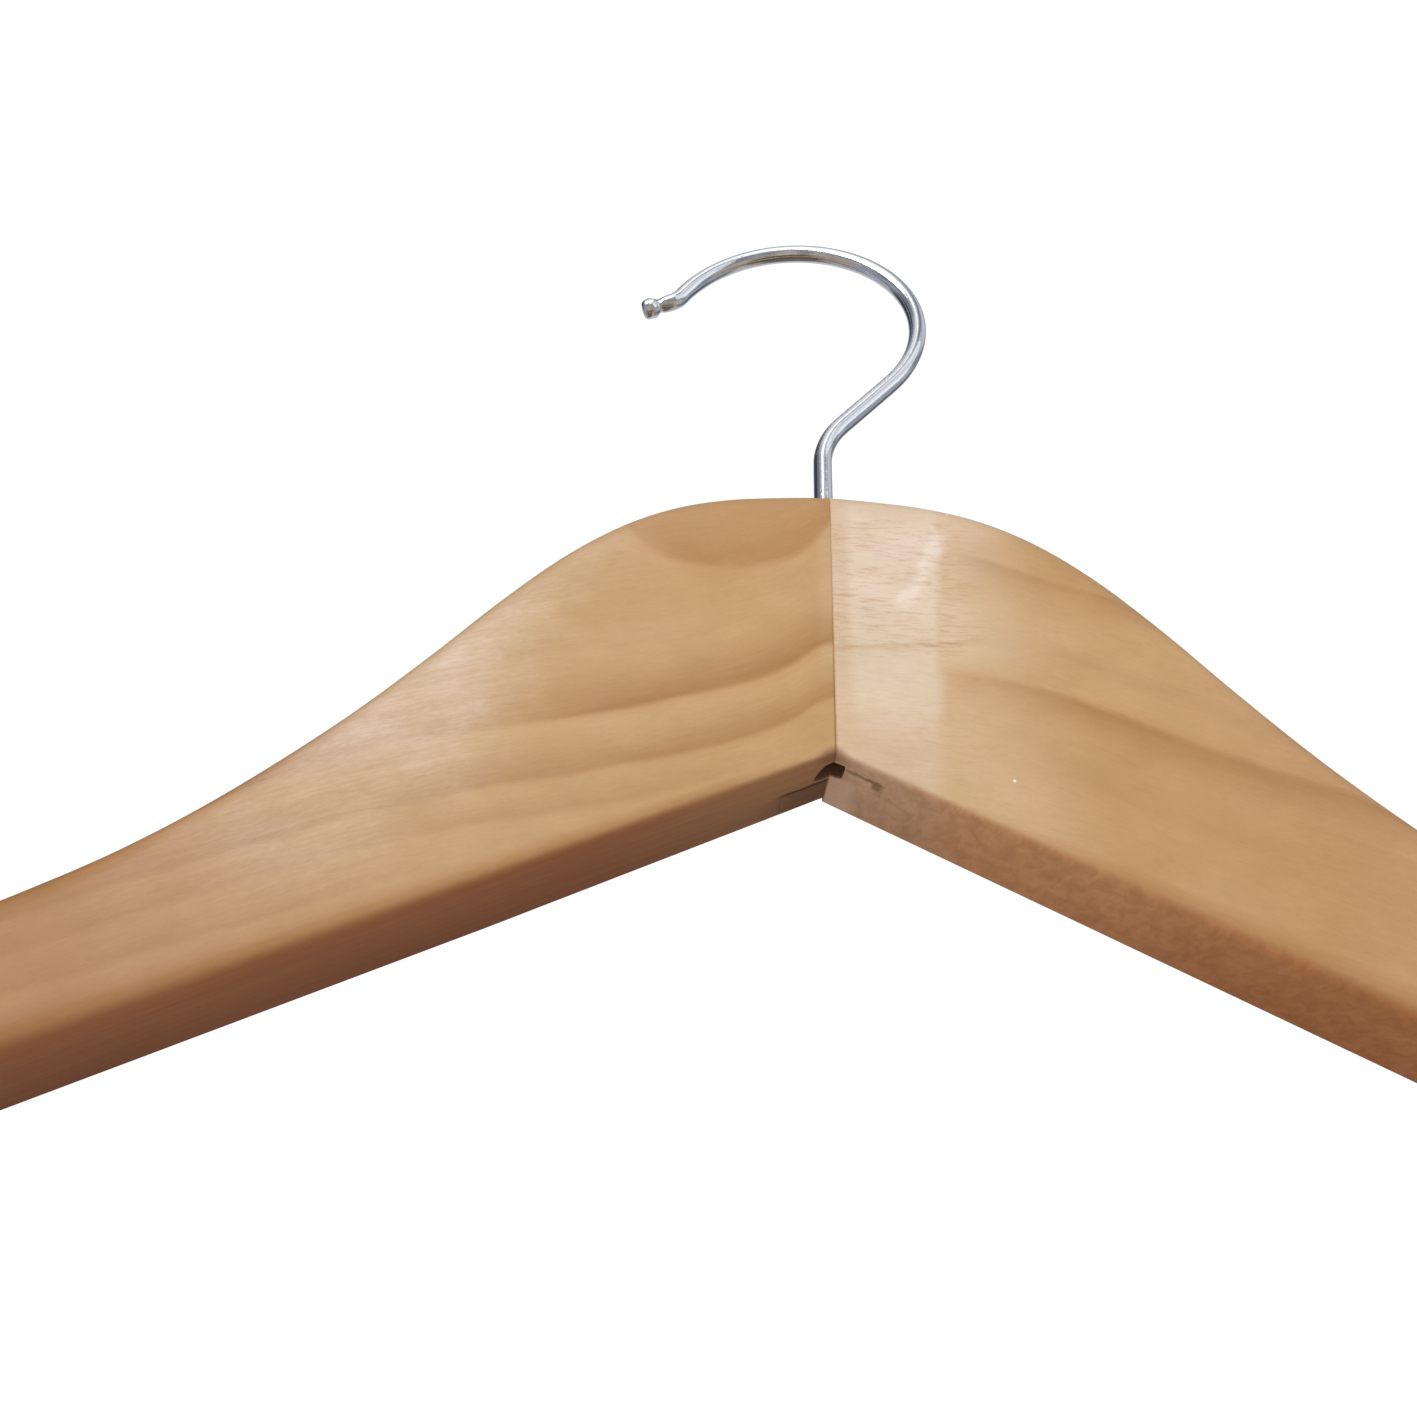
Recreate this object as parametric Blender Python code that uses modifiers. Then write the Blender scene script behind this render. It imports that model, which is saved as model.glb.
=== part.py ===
# Wooden clothes hanger with a swivelling chromed wire hook.
#
# Frame: +X to the hanger's right, +Y towards its back, +Z up.  The origin is the
# rod seat: the point inside the hook's arc that lies straight above the shank.
# The shank's axis is the Z axis, and the hanger's middle plane is Y = 0.
import bpy
import bmesh
import math

for ob in list(bpy.data.objects):
    bpy.data.objects.remove(ob, do_unlink=True)

MM = 0.001

# ---- driving dimensions (mm) -------------------------------------------------
OVERALL_WIDTH = 445.0          # tip to tip
THICKNESS = 15.4               # front face to back face, at the seam
ARM_TAPER = 0.0352             # growth of the thickness per mm outwards
SEAM_HEIGHT = 47.3             # height of the wood at the seam
UNDERSIDE_SLOPE = 0.469        # fall of the arm's lower edge per mm outwards
END_ROUND_TOP = 8.6            # corner radii of the arm's end
END_ROUND_LOW = 8.0
TOP_EDGE_ROUND = 5.0           # rounding of the long edges
LOW_EDGE_ROUND_MID = 0.9       # lower edge, at the seam
LOW_EDGE_ROUND_END = 3.6       # lower edge, from LOW_EDGE_FULL_X outwards
LOW_EDGE_FULL_X = 110.0
LEFT_BACK_ROUND = 2.6          # the left arm's back lower edge, rounded off more at the seam
LEFT_BACK_X = 45.0             # where that has eased away
EDGE_STEPS = 4                 # facets across each rounding
SHOULDER_LINE = [              # upper edge of an arm: distance from seam, fall
    (0.0, 0.0), (8.0, 0.55), (16.0, 1.65), (24.0, 4.0), (32.0, 8.3),
    (40.0, 14.9), (48.0, 23.7), (56.0, 33.7), (64.0, 43.1), (72.0, 51.3),
    (80.0, 58.6), (88.0, 64.8), (96.0, 69.9), (104.0, 74.5), (112.0, 78.8),
    (124.0, 84.9), (140.0, 92.8), (160.0, 102.4), (185.0, 114.2), (222.5, 131.9)]
POINT_STEP = 5.0               # spacing of outline points along the arm

FINGER_LENGTH = 6.5            # fingers of the glued seam joint
FINGER_SKIN = 3.0              # outer skins that butt at the seam
GLUE_GAP = 0.3
OVERLAP = 20.0                 # how far a blank runs past the seam before it is cut

WIRE_D = 3.2
BORE_D = 3.8
POCKET_D = 5.6                 # pocket in the seam that holds the washer and the wire's head
POCKET_TOP = 36.3              # below the wood's top
POCKET_HEIGHT = 4.6
NOTCH_X = (-2.0, 1.6)          # gap left at the foot of the finger joint
NOTCH_Y = (-5.4, -1.0)
NOTCH_DEPTH = 4.5              # up from the bottom of the seam
ARC_RADIUS = 24.1              # wire centreline
ARC_OFFSET = -6.1             # arc centre, sideways from the shank axis
ARC_HEIGHT = 47.2             # arc centre above the wood
ARC_END_DEG = 150.0
LEAN_DEG = 41.0                # lean of the straight run, from the vertical
SHANK_BEND_R = 14.0
TIP_BEND_R = 4.5
TIP_BEND_DEG = 38.0
TIP_STRAIGHT = 3.2
BALL_D = 4.3
HOOK_TURN_DEG = -5.7           # how far the hook is swivelled at rest
WASHER_D = 5.0
WASHER_T = 0.8
HEAD_D = 4.4
GAP = 0.3

# height of the rod seat above the top of the wood, on the shank axis
SEAT = ARC_HEIGHT + math.sqrt((ARC_RADIUS - WIRE_D / 2) ** 2 - ARC_OFFSET ** 2)
WOOD_TOP = -SEAT
T2 = THICKNESS / 2


# ---- scene layout ------------------------------------------------------------
def collection(name):
    col = bpy.data.collections.new(name)
    bpy.context.scene.collection.children.link(col)
    return col


PARTS = collection("clothes_hanger")
CUTTERS = collection("cutters")


def material(name, rgb, rough, metal):
    m = bpy.data.materials.new(name)
    m.use_nodes = True
    b = m.node_tree.nodes["Principled BSDF"]
    b.inputs["Base Color"].default_value = (rgb[0], rgb[1], rgb[2], 1.0)
    b.inputs["Roughness"].default_value = rough
    b.inputs["Metallic"].default_value = metal
    m.diffuse_color = (rgb[0], rgb[1], rgb[2], 1.0)
    return m


MAT_LEFT = material("wood_left", (0.50, 0.29, 0.14), 0.40, 0.0)
MAT_RIGHT = material("wood_right", (0.56, 0.35, 0.18), 0.40, 0.0)
MAT_CHROME = material("chrome_wire", (0.80, 0.81, 0.83), 0.08, 1.0)
MAT_STEEL = material("zinc_steel", (0.55, 0.55, 0.56), 0.35, 1.0)


def curve_to_mesh(ob, name, col):
    """Closed, welded mesh object made from a curve object."""
    bpy.context.view_layer.update()
    dg = bpy.context.evaluated_depsgraph_get()
    me = bpy.data.meshes.new_from_object(ob.evaluated_get(dg))
    bm = bmesh.new()
    bm.from_mesh(me)
    bmesh.ops.remove_doubles(bm, verts=bm.verts, dist=1e-6)
    if ob.data.dimensions == "2D":
        # the filled caps come out as triangles: make each one a single flat face
        bm.normal_update()
        inner = [e for e in bm.edges if len(e.link_faces) == 2
                 and all(abs(f.normal.z) > 0.9999 for f in e.link_faces)]
        bmesh.ops.dissolve_edges(bm, edges=inner, use_verts=False)
    bmesh.ops.recalc_face_normals(bm, faces=bm.faces)
    bm.to_mesh(me)
    bm.free()
    new = bpy.data.objects.new(name, me)
    new.matrix_world = ob.matrix_world.copy()
    col.objects.link(new)
    bpy.data.objects.remove(ob, do_unlink=True)
    return new


def plate(name, pts, half, col):
    """Flat outline in local XY, extruded half each way along local Z."""
    cu = bpy.data.curves.new(name, "CURVE")
    cu.dimensions = "2D"
    cu.fill_mode = "BOTH"
    cu.extrude = half * MM
    sp = cu.splines.new("POLY")
    sp.points.add(len(pts) - 1)
    for p, (a, b) in zip(sp.points, pts):
        p.co = (a * MM, b * MM, 0.0, 1.0)
    sp.use_cyclic_u = True
    ob = bpy.data.objects.new(name + "_outline", cu)
    CUTTERS.objects.link(ob)
    return curve_to_mesh(ob, name, col)


def hide(ob):
    ob.hide_render = True
    ob.display_type = "WIRE"
    return ob


def boolean(ob, cutter, op, name):
    m = ob.modifiers.new(name, "BOOLEAN")
    m.operation = op
    m.solver = "EXACT"
    m.object = cutter
    return m


# ---- the wooden outline ------------------------------------------------------
def shoulder(x):
    """Fall of the upper edge at distance x, by a smooth curve through the line's points."""
    p = SHOULDER_LINE
    i = 0
    while i < len(p) - 2 and x > p[i + 1][0]:
        i += 1
    x0, y0 = p[i]
    x1, y1 = p[i + 1]

    def slope(k):
        if k == 0:
            return 0.0
        if k == len(p) - 1:
            return (p[k][1] - p[k - 1][1]) / (p[k][0] - p[k - 1][0])
        return (p[k + 1][1] - p[k - 1][1]) / (p[k + 1][0] - p[k - 1][0])
    h = x1 - x0
    t = (x - x0) / h
    return (y0 * (2 * t ** 3 - 3 * t ** 2 + 1) + slope(i) * h * (t ** 3 - 2 * t ** 2 + t)
            + y1 * (-2 * t ** 3 + 3 * t ** 2) + slope(i + 1) * h * (t ** 3 - t ** 2))


def fillet(a, b, c, r, n):
    """Arc of radius r in corner b between a and c."""
    ux, uz = a[0] - b[0], a[1] - b[1]
    vx, vz = c[0] - b[0], c[1] - b[1]
    lu, lv = math.hypot(ux, uz), math.hypot(vx, vz)
    ux, uz, vx, vz = ux / lu, uz / lu, vx / lv, vz / lv
    half = math.acos(max(-1.0, min(1.0, ux * vx + uz * vz))) / 2
    d = r / math.tan(half)
    wx, wz = ux + vx, uz + vz
    lw = math.hypot(wx, wz)
    cx, cz = b[0] + wx / lw * r / math.sin(half), b[1] + wz / lw * r / math.sin(half)
    p0 = (b[0] + ux * d, b[1] + uz * d)
    p1 = (b[0] + vx * d, b[1] + vz * d)
    a0 = math.atan2(p0[1] - cz, p0[0] - cx)
    a1 = math.atan2(p1[1] - cz, p1[0] - cx)
    while a1 - a0 > math.pi:
        a1 -= 2 * math.pi
    while a1 - a0 < -math.pi:
        a1 += 2 * math.pi
    return [(cx + r * math.cos(a0 + (a1 - a0) * k / n),
             cz + r * math.sin(a0 + (a1 - a0) * k / n)) for k in range(n + 1)]


def half_outline():
    """Right half, from the seam's top round the end to the seam's bottom, z from the wood's top."""
    end = OVERALL_WIDTH / 2
    lean = math.atan(UNDERSIDE_SLOPE)
    # end line square to the arm, placed so that the rounded tip lies at the overall width
    low = lambda x: -SEAM_HEIGHT - UNDERSIDE_SLOPE * x
    top = lambda x: -shoulder(x)
    xt = end - 1.0
    zt = top(xt)
    # lower corner: walk square to the lower edge from the upper corner
    s = (zt - low(xt)) * math.cos(lean)
    xb = xt - s * math.sin(lean)
    zb = low(xb)
    before = (xt - 20.0, top(xt - 20.0))
    after = (xb - 20.0, low(xb - 20.0))
    arc1 = fillet(before, (xt, zt), (xb, zb), END_ROUND_TOP, 8)
    arc2 = fillet((xt, zt), (xb, zb), after, END_ROUND_LOW, 8)
    shift = end - max(p[0] for p in arc1 + arc2)
    arc1 = [(x + shift, z - shift * UNDERSIDE_SLOPE * 0.91) for x, z in arc1]
    arc2 = [(x + shift, z - shift * UNDERSIDE_SLOPE) for x, z in arc2]
    pts = []
    n = int(round(arc1[0][0] / POINT_STEP))
    for k in range(n):
        x = arc1[0][0] * k / n
        pts.append((x, top(x)))
    pts += arc1
    if math.hypot(arc1[-1][0] - arc2[0][0], arc1[-1][1] - arc2[0][1]) < 0.3:
        arc2 = arc2[1:]
    pts += arc2
    n = 16
    for k in range(1, n + 1):
        x = arc2[-1][0] * (1 - k / n)
        pts.append((x, low(x)))
    return pts


def half_thick(x):
    """Half the thickness at distance x from the seam: each face is one plane per arm."""
    return THICKNESS / 2 + ARM_TAPER / 2 * x


HALF = half_outline()


def arm_outline(side):
    """Outline of one arm carried OVERLAP past the seam, as (x, z), in order."""
    low = (-OVERLAP, -SEAM_HEIGHT - UNDERSIDE_SLOPE * OVERLAP)
    tops = [(-x, -shoulder(x)) for x in (OVERLAP, OVERLAP * 0.5, OVERLAP * 0.25)]
    return [(side * x, z) for x, z in tops + HALF + [low]]


def low_round(x):
    t = min(1.0, abs(x) / LOW_EDGE_FULL_X)
    return LOW_EDGE_ROUND_MID + (LOW_EDGE_ROUND_END - LOW_EDGE_ROUND_MID) * t


def edge_round(x, z, side, face):
    """Radius of the long edge at an outline point: full above, finer along the underside."""
    lower = z < -SEAM_HEIGHT - UNDERSIDE_SLOPE * abs(x) + 0.6
    if not lower:
        return TOP_EDGE_ROUND
    # ease from the end's full rounding into the underside's
    t = max(0.0, min(1.0, (OVERALL_WIDTH / 2 - abs(x) - 8.0) / 14.0))
    r = TOP_EDGE_ROUND + (low_round(x) - TOP_EDGE_ROUND) * t
    if side < 0 and face > 0:
        r += (LEFT_BACK_ROUND - LOW_EDGE_ROUND_MID) * max(0.0, 1.0 - abs(x) / LEFT_BACK_X)
    return r


def blank(name, side, mat):
    """One wooden arm before it is cut at the seam.  The rounding of its long
    edges changes along the arms, so its sections are lofted from the outline: each
    ring is the outline drawn in by the rounding at that depth."""
    full = arm_outline(side)
    n = len(full)
    area = sum(full[i][0] * full[(i + 1) % n][1] - full[(i + 1) % n][0] * full[i][1]
               for i in range(n))
    turn = 1.0 if area > 0 else -1.0
    inward = []
    for i in range(n):
        ax, az = full[i - 1]
        bx, bz = full[i]
        cx, cz = full[(i + 1) % n]
        l1, l2 = math.hypot(bx - ax, bz - az), math.hypot(cx - bx, cz - bz)
        n1 = (-(bz - az) / l1 * turn, (bx - ax) / l1 * turn)
        n2 = (-(cz - bz) / l2 * turn, (cx - bx) / l2 * turn)
        mx, mz = n1[0] + n2[0], n1[1] + n2[1]
        k = 2.0 / (mx * mx + mz * mz)
        inward.append((mx * k, mz * k))
    radii = {f: [edge_round(x, z, side, f) for x, z in full] for f in (-1.0, 1.0)}
    bm = bmesh.new()
    rings = []
    steps = [(k, -1.0) for k in range(EDGE_STEPS + 1)]
    steps += [(k, 1.0) for k in range(EDGE_STEPS, -1, -1)]
    for k, face in steps:
        t = math.pi / 2 * k / EDGE_STEPS
        ring = []
        for (x, z), (ix, iz), r in zip(full, inward, radii[face]):
            d = r * (1.0 - math.sin(t))
            y = face * (half_thick(side * (x + ix * d)) - r * (1.0 - math.cos(t)))
            ring.append(bm.verts.new(((x + ix * d) * MM, y * MM, (z + iz * d) * MM)))
        rings.append(ring)
    for r0, r1 in zip(rings, rings[1:]):
        for i in range(n):
            j = (i + 1) % n
            bm.faces.new((r0[i], r0[j], r1[j], r1[i]))
    bm.faces.new(rings[0])
    bm.faces.new(rings[-1])
    bmesh.ops.recalc_face_normals(bm, faces=bm.faces)
    me = bpy.data.meshes.new(name)
    bm.to_mesh(me)
    bm.free()
    me.materials.append(mat)
    ob = bpy.data.objects.new(name, me)
    PARTS.objects.link(ob)
    return ob


# ---- how the two halves meet ---------------------------------------------------
def seam_path(side):
    """Zigzag of the finger joint in plan (x, y), front to back, half the glue gap to one side."""
    g = GLUE_GAP / 2
    ys = T2 - FINGER_SKIN
    f = FINGER_LENGTH
    s = side
    # the left half's finger fills y from -ys to 0 and reaches x = +f;
    # the right half's finger fills y from 0 to ys and reaches x = -f
    if s < 0:
        return [(-g, -60.0), (-g, -ys + g), (f - g, -ys + g), (f - g, -g),
                (-f - g, -g), (-f - g, ys + g), (-g, ys + g), (-g, 60.0)]
    return [(g, -60.0), (g, -ys - g), (f + g, -ys - g), (f + g, g),
            (-f + g, g), (-f + g, ys - g), (g, ys - g), (g, 60.0)]


def half_space(name, side):
    """Block that keeps one arm: everything on its side of the finger joint."""
    pts = seam_path(side) + [(side * 400.0, 60.0), (side * 400.0, -60.0)]
    ob = plate(name, pts, 400.0, CUTTERS)
    return hide(ob)


def cylinder(name, d, z_low, z_high, sides, col):
    bm = bmesh.new()
    bmesh.ops.create_cone(bm, cap_ends=True, segments=sides, radius1=d / 2 * MM,
                          radius2=d / 2 * MM, depth=(z_high - z_low) * MM)
    bmesh.ops.translate(bm, verts=bm.verts, vec=(0, 0, (z_low + z_high) / 2 * MM))
    me = bpy.data.meshes.new(name)
    bm.to_mesh(me)
    bm.free()
    ob = bpy.data.objects.new(name, me)
    col.objects.link(ob)
    return ob


axis = bpy.data.objects.new("shank_axis", None)
axis.location = (0.0, 0.0, WOOD_TOP * MM)
PARTS.objects.link(axis)

bore = hide(cylinder("bore_cutter", BORE_D, -POCKET_TOP - 1.0, 20.0, 24, CUTTERS))
pocket = hide(cylinder("pocket_cutter", POCKET_D, -POCKET_TOP - POCKET_HEIGHT,
                       -POCKET_TOP, 24, CUTTERS))
notch = hide(plate("notch_cutter", [(NOTCH_X[0], NOTCH_Y[0]), (NOTCH_X[1], NOTCH_Y[0]),
                                    (NOTCH_X[1], NOTCH_Y[1]), (NOTCH_X[0], NOTCH_Y[1])],
                   10.0, CUTTERS))
bore.location = pocket.location = (0.0, 0.0, WOOD_TOP * MM)
notch.location = (0.0, 0.0, (WOOD_TOP - SEAM_HEIGHT + NOTCH_DEPTH - 10.0) * MM)

for name, side, mat in (("left_arm", -1, MAT_LEFT), ("right_arm", 1, MAT_RIGHT)):
    arm = blank(name, side, mat)
    arm.parent = axis
    keep = half_space(name + "_side", side)
    keep.location = (0.0, 0.0, WOOD_TOP * MM)
    boolean(arm, keep, "INTERSECT", "one_half")
    boolean(arm, bore, "DIFFERENCE", "shank_bore")
    boolean(arm, pocket, "DIFFERENCE", "head_pocket")
    boolean(arm, notch, "DIFFERENCE", "joint_notch")


# ---- hook ----------------------------------------------------------------------
def hook_path():
    """Centreline of the wire as (u, z, radius), z from the wood's top, lower end first."""
    r = WIRE_D / 2
    out = []
    shoulder_z = -POCKET_TOP
    head_top = shoulder_z - GAP - WASHER_T - GAP
    hr = HEAD_D / 2
    # peened end: domed below, flat on top
    out += [(0.0, head_top - 2.2, hr * 0.55), (0.0, head_top - 2.0, hr * 0.80),
            (0.0, head_top - 1.6, hr * 0.97), (0.0, head_top - 1.1, hr),
            (0.0, head_top - 0.45, hr), (0.0, head_top - 0.05, hr * 0.93),
            (0.0, head_top, r)]
    a = math.radians(LEAN_DEG)
    # point where the straight run meets the big arc
    nx, nz = -math.cos(a), math.sin(a)
    tx, tz = ARC_OFFSET - ARC_RADIUS * nx, ARC_HEIGHT - ARC_RADIUS * nz
    # straight run back to the end of the first bend
    s = (tx - SHANK_BEND_R * (1 - math.cos(a))) / math.sin(a)
    bx, bz = tx - s * math.sin(a), tz - s * math.cos(a)
    z1 = bz - SHANK_BEND_R * math.sin(a)
    out.append((0.0, -SEAM_HEIGHT / 2, r))
    n = 6
    for k in range(n + 1):
        t = a * k / n
        out.append((SHANK_BEND_R * (1 - math.cos(t)), z1 + SHANK_BEND_R * math.sin(t), r))
    n = 30
    a0, a1 = -LEAN_DEG, ARC_END_DEG
    for k in range(n + 1):
        t = math.radians(a0 + (a1 - a0) * k / n)
        out.append((ARC_OFFSET + ARC_RADIUS * math.cos(t), ARC_HEIGHT + ARC_RADIUS * math.sin(t), r))
    # reverse bend that turns the tip outwards
    t = math.radians(ARC_END_DEG)
    px, pz = out[-1][0], out[-1][1]
    dx, dz = -math.sin(t), math.cos(t)
    cx, cz = px + dz * TIP_BEND_R, pz - dx * TIP_BEND_R
    n = 5
    for k in range(1, n + 1):
        b = math.radians(TIP_BEND_DEG) * k / n
        vx, vz = px - cx, pz - cz
        out.append((cx + vx * math.cos(b) + vz * math.sin(b),
                    cz - vx * math.sin(b) + vz * math.cos(b), r))
    b = math.radians(TIP_BEND_DEG)
    ex, ez = dx * math.cos(b) + dz * math.sin(b), -dx * math.sin(b) + dz * math.cos(b)
    px, pz = out[-1][0], out[-1][1]
    # short neck, then the ball with its flat end
    ball = BALL_D / 2
    neck = TIP_STRAIGHT
    out.append((px + ex * (neck - 1.0), pz + ez * (neck - 1.0), r))
    for d, q in ((neck - 0.1, r * 0.86), (neck + 0.5, ball * 0.88), (neck + 1.1, ball * 0.98),
                 (neck + 1.7, ball), (neck + 2.4, ball * 0.96), (neck + 2.9, ball * 0.82),
                 (neck + 3.1, ball * 0.66)):
        out.append((px + ex * d, pz + ez * d, q))
    return out


cu = bpy.data.curves.new("hook", "CURVE")
cu.dimensions = "3D"
cu.bevel_depth = WIRE_D / 2 * MM
cu.bevel_resolution = 4
cu.use_fill_caps = True
sp = cu.splines.new("POLY")
path = hook_path()
sp.points.add(len(path) - 1)
for p, (u, z, q) in zip(sp.points, path):
    p.co = (u * MM, 0.0, z * MM, 1.0)
    p.radius = q / (WIRE_D / 2)
hook_curve = bpy.data.objects.new("hook_wire", cu)
CUTTERS.objects.link(hook_curve)
hook = curve_to_mesh(hook_curve, "hook", PARTS)
hook.location = (0.0, 0.0, WOOD_TOP * MM)
hook.rotation_euler = (0.0, 0.0, math.radians(HOOK_TURN_DEG))
hook.data.materials.append(MAT_CHROME)

# ---- washer: a turned ring under the pocket's shoulder ------------------------------
z_hi = -POCKET_TOP - GAP
z_lo = z_hi - WASHER_T
ro, ri = WASHER_D / 2, BORE_D / 2
prof = [(ro, z_hi), (ro, z_lo), (ri, z_lo), (ri, z_hi)]
me = bpy.data.meshes.new("hook_washer")
me.from_pydata([(x * MM, 0.0, z * MM) for x, z in prof],
               [(0, 1), (1, 2), (2, 3), (3, 0)], [])
washer = bpy.data.objects.new("hook_washer", me)
PARTS.objects.link(washer)
washer.location = (0.0, 0.0, WOOD_TOP * MM)
scr = washer.modifiers.new("turned", "SCREW")
scr.axis = "Z"
scr.angle = math.radians(360.0)
scr.steps = scr.render_steps = 24
scr.use_merge_vertices = True
scr.merge_threshold = 0.00001
scr.use_smooth_shade = False
me.materials.append(MAT_STEEL)

for ob in (bpy.data.objects["left_arm"], bpy.data.objects["right_arm"], hook):
    ob.data.shade_smooth()
    ob.data.set_sharp_from_angle(angle=math.radians(40.0))
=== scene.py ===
# Wooden clothes hanger with a chromed swivel hook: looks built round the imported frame.
import math

import bmesh
import bpy
from mathutils import Matrix, Vector


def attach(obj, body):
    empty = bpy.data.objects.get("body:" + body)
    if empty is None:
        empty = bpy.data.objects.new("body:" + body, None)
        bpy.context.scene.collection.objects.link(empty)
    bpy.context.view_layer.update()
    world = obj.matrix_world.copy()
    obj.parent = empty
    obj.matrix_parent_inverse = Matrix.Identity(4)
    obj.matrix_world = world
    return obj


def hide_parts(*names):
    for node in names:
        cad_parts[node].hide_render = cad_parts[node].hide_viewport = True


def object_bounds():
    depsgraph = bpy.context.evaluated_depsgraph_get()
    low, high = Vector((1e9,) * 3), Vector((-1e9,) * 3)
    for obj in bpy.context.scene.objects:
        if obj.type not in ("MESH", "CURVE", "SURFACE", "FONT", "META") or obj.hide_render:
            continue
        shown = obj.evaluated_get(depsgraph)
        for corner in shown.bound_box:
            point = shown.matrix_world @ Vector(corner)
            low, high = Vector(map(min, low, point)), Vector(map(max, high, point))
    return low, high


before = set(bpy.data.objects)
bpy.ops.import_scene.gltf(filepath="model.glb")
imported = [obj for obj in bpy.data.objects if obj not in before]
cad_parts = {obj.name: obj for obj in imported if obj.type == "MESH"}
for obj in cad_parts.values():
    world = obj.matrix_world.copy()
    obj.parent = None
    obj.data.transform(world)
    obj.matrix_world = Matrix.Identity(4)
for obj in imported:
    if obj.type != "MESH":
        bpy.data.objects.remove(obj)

lo0, hi0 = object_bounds()
MM = 0.001
C = bpy.context

# ------------------------------------------------------------------ shared shape
# The same driving dimensions as the CAD arms, in mm.
OVERALL_WIDTH = 445.0
THICKNESS = 15.4
ARM_TAPER = 0.0352
SEAM_HEIGHT = 47.3
UNDERSIDE_SLOPE = 0.469
END_ROUND_TOP = 8.6
END_ROUND_LOW = 8.0
TOP_EDGE_ROUND = 5.0
LOW_EDGE_ROUND_MID = 0.9
LOW_EDGE_ROUND_END = 3.6
LOW_EDGE_FULL_X = 110.0
LEFT_BACK_ROUND = 2.6
LEFT_BACK_X = 45.0
SHOULDER_LINE = [
    (0.0, 0.0), (8.0, 0.55), (16.0, 1.65), (24.0, 4.0), (32.0, 8.3),
    (40.0, 14.9), (48.0, 23.7), (56.0, 33.7), (64.0, 43.1), (72.0, 51.3),
    (80.0, 58.6), (88.0, 64.8), (96.0, 69.9), (104.0, 74.5), (112.0, 78.8),
    (124.0, 84.9), (140.0, 92.8), (160.0, 102.4), (185.0, 114.2), (222.5, 131.9)]
WIRE_D = 3.2
BORE_D = 3.7
ARC_RADIUS = 24.1
ARC_OFFSET = -6.1
ARC_HEIGHT = 47.2
ARC_END_DEG = 150.0
LEAN_DEG = 41.0
SHANK_BEND_R = 14.0
TIP_BEND_R = 4.5
TIP_BEND_DEG = 38.0
TIP_STRAIGHT = 3.2
BALL_D = 4.3
HOOK_TURN_DEG = -5.7
POCKET_TOP = 36.3
POCKET_HEIGHT = 4.6
POCKET_D = 5.6
FINGER_LENGTH = 6.5
FINGER_SKIN = 3.0
NOTCH_X = (-2.0, 1.6)
NOTCH_Y = (-5.4, -1.0)
NOTCH_DEPTH = 4.5
SEAT = ARC_HEIGHT + math.sqrt((ARC_RADIUS - WIRE_D / 2) ** 2 - ARC_OFFSET ** 2)
WOOD_TOP = -SEAT
T2 = THICKNESS / 2


def shoulder(x):
    p = SHOULDER_LINE
    i = 0
    while i < len(p) - 2 and x > p[i + 1][0]:
        i += 1
    x0, y0 = p[i]
    x1, y1 = p[i + 1]

    def slope(k):
        if k == 0:
            return 0.0
        if k == len(p) - 1:
            return (p[k][1] - p[k - 1][1]) / (p[k][0] - p[k - 1][0])
        return (p[k + 1][1] - p[k - 1][1]) / (p[k + 1][0] - p[k - 1][0])
    h = x1 - x0
    t = (x - x0) / h
    return (y0 * (2 * t ** 3 - 3 * t ** 2 + 1) + slope(i) * h * (t ** 3 - 2 * t ** 2 + t)
            + y1 * (-2 * t ** 3 + 3 * t ** 2) + slope(i + 1) * h * (t ** 3 - t ** 2))


def fillet(a, b, c, r, n):
    ux, uz = a[0] - b[0], a[1] - b[1]
    vx, vz = c[0] - b[0], c[1] - b[1]
    lu, lv = math.hypot(ux, uz), math.hypot(vx, vz)
    ux, uz, vx, vz = ux / lu, uz / lu, vx / lv, vz / lv
    half = math.acos(max(-1.0, min(1.0, ux * vx + uz * vz))) / 2
    d = r / math.tan(half)
    wx, wz = ux + vx, uz + vz
    lw = math.hypot(wx, wz)
    cx, cz = b[0] + wx / lw * r / math.sin(half), b[1] + wz / lw * r / math.sin(half)
    p0 = (b[0] + ux * d, b[1] + uz * d)
    p1 = (b[0] + vx * d, b[1] + vz * d)
    a0 = math.atan2(p0[1] - cz, p0[0] - cx)
    a1 = math.atan2(p1[1] - cz, p1[0] - cx)
    while a1 - a0 > math.pi:
        a1 -= 2 * math.pi
    while a1 - a0 < -math.pi:
        a1 += 2 * math.pi
    return [(cx + r * math.cos(a0 + (a1 - a0) * k / n),
             cz + r * math.sin(a0 + (a1 - a0) * k / n)) for k in range(n + 1)]


def half_thick(x):
    return THICKNESS / 2 + ARM_TAPER / 2 * x


def low(x):
    return -SEAM_HEIGHT - UNDERSIDE_SLOPE * abs(x)


OVER = 15.0                    # how far a blank runs past the seam before it is cut
RUN = 150                      # stations along the straight part of an arm
ARC = 14                       # stations round each corner of its end


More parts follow.
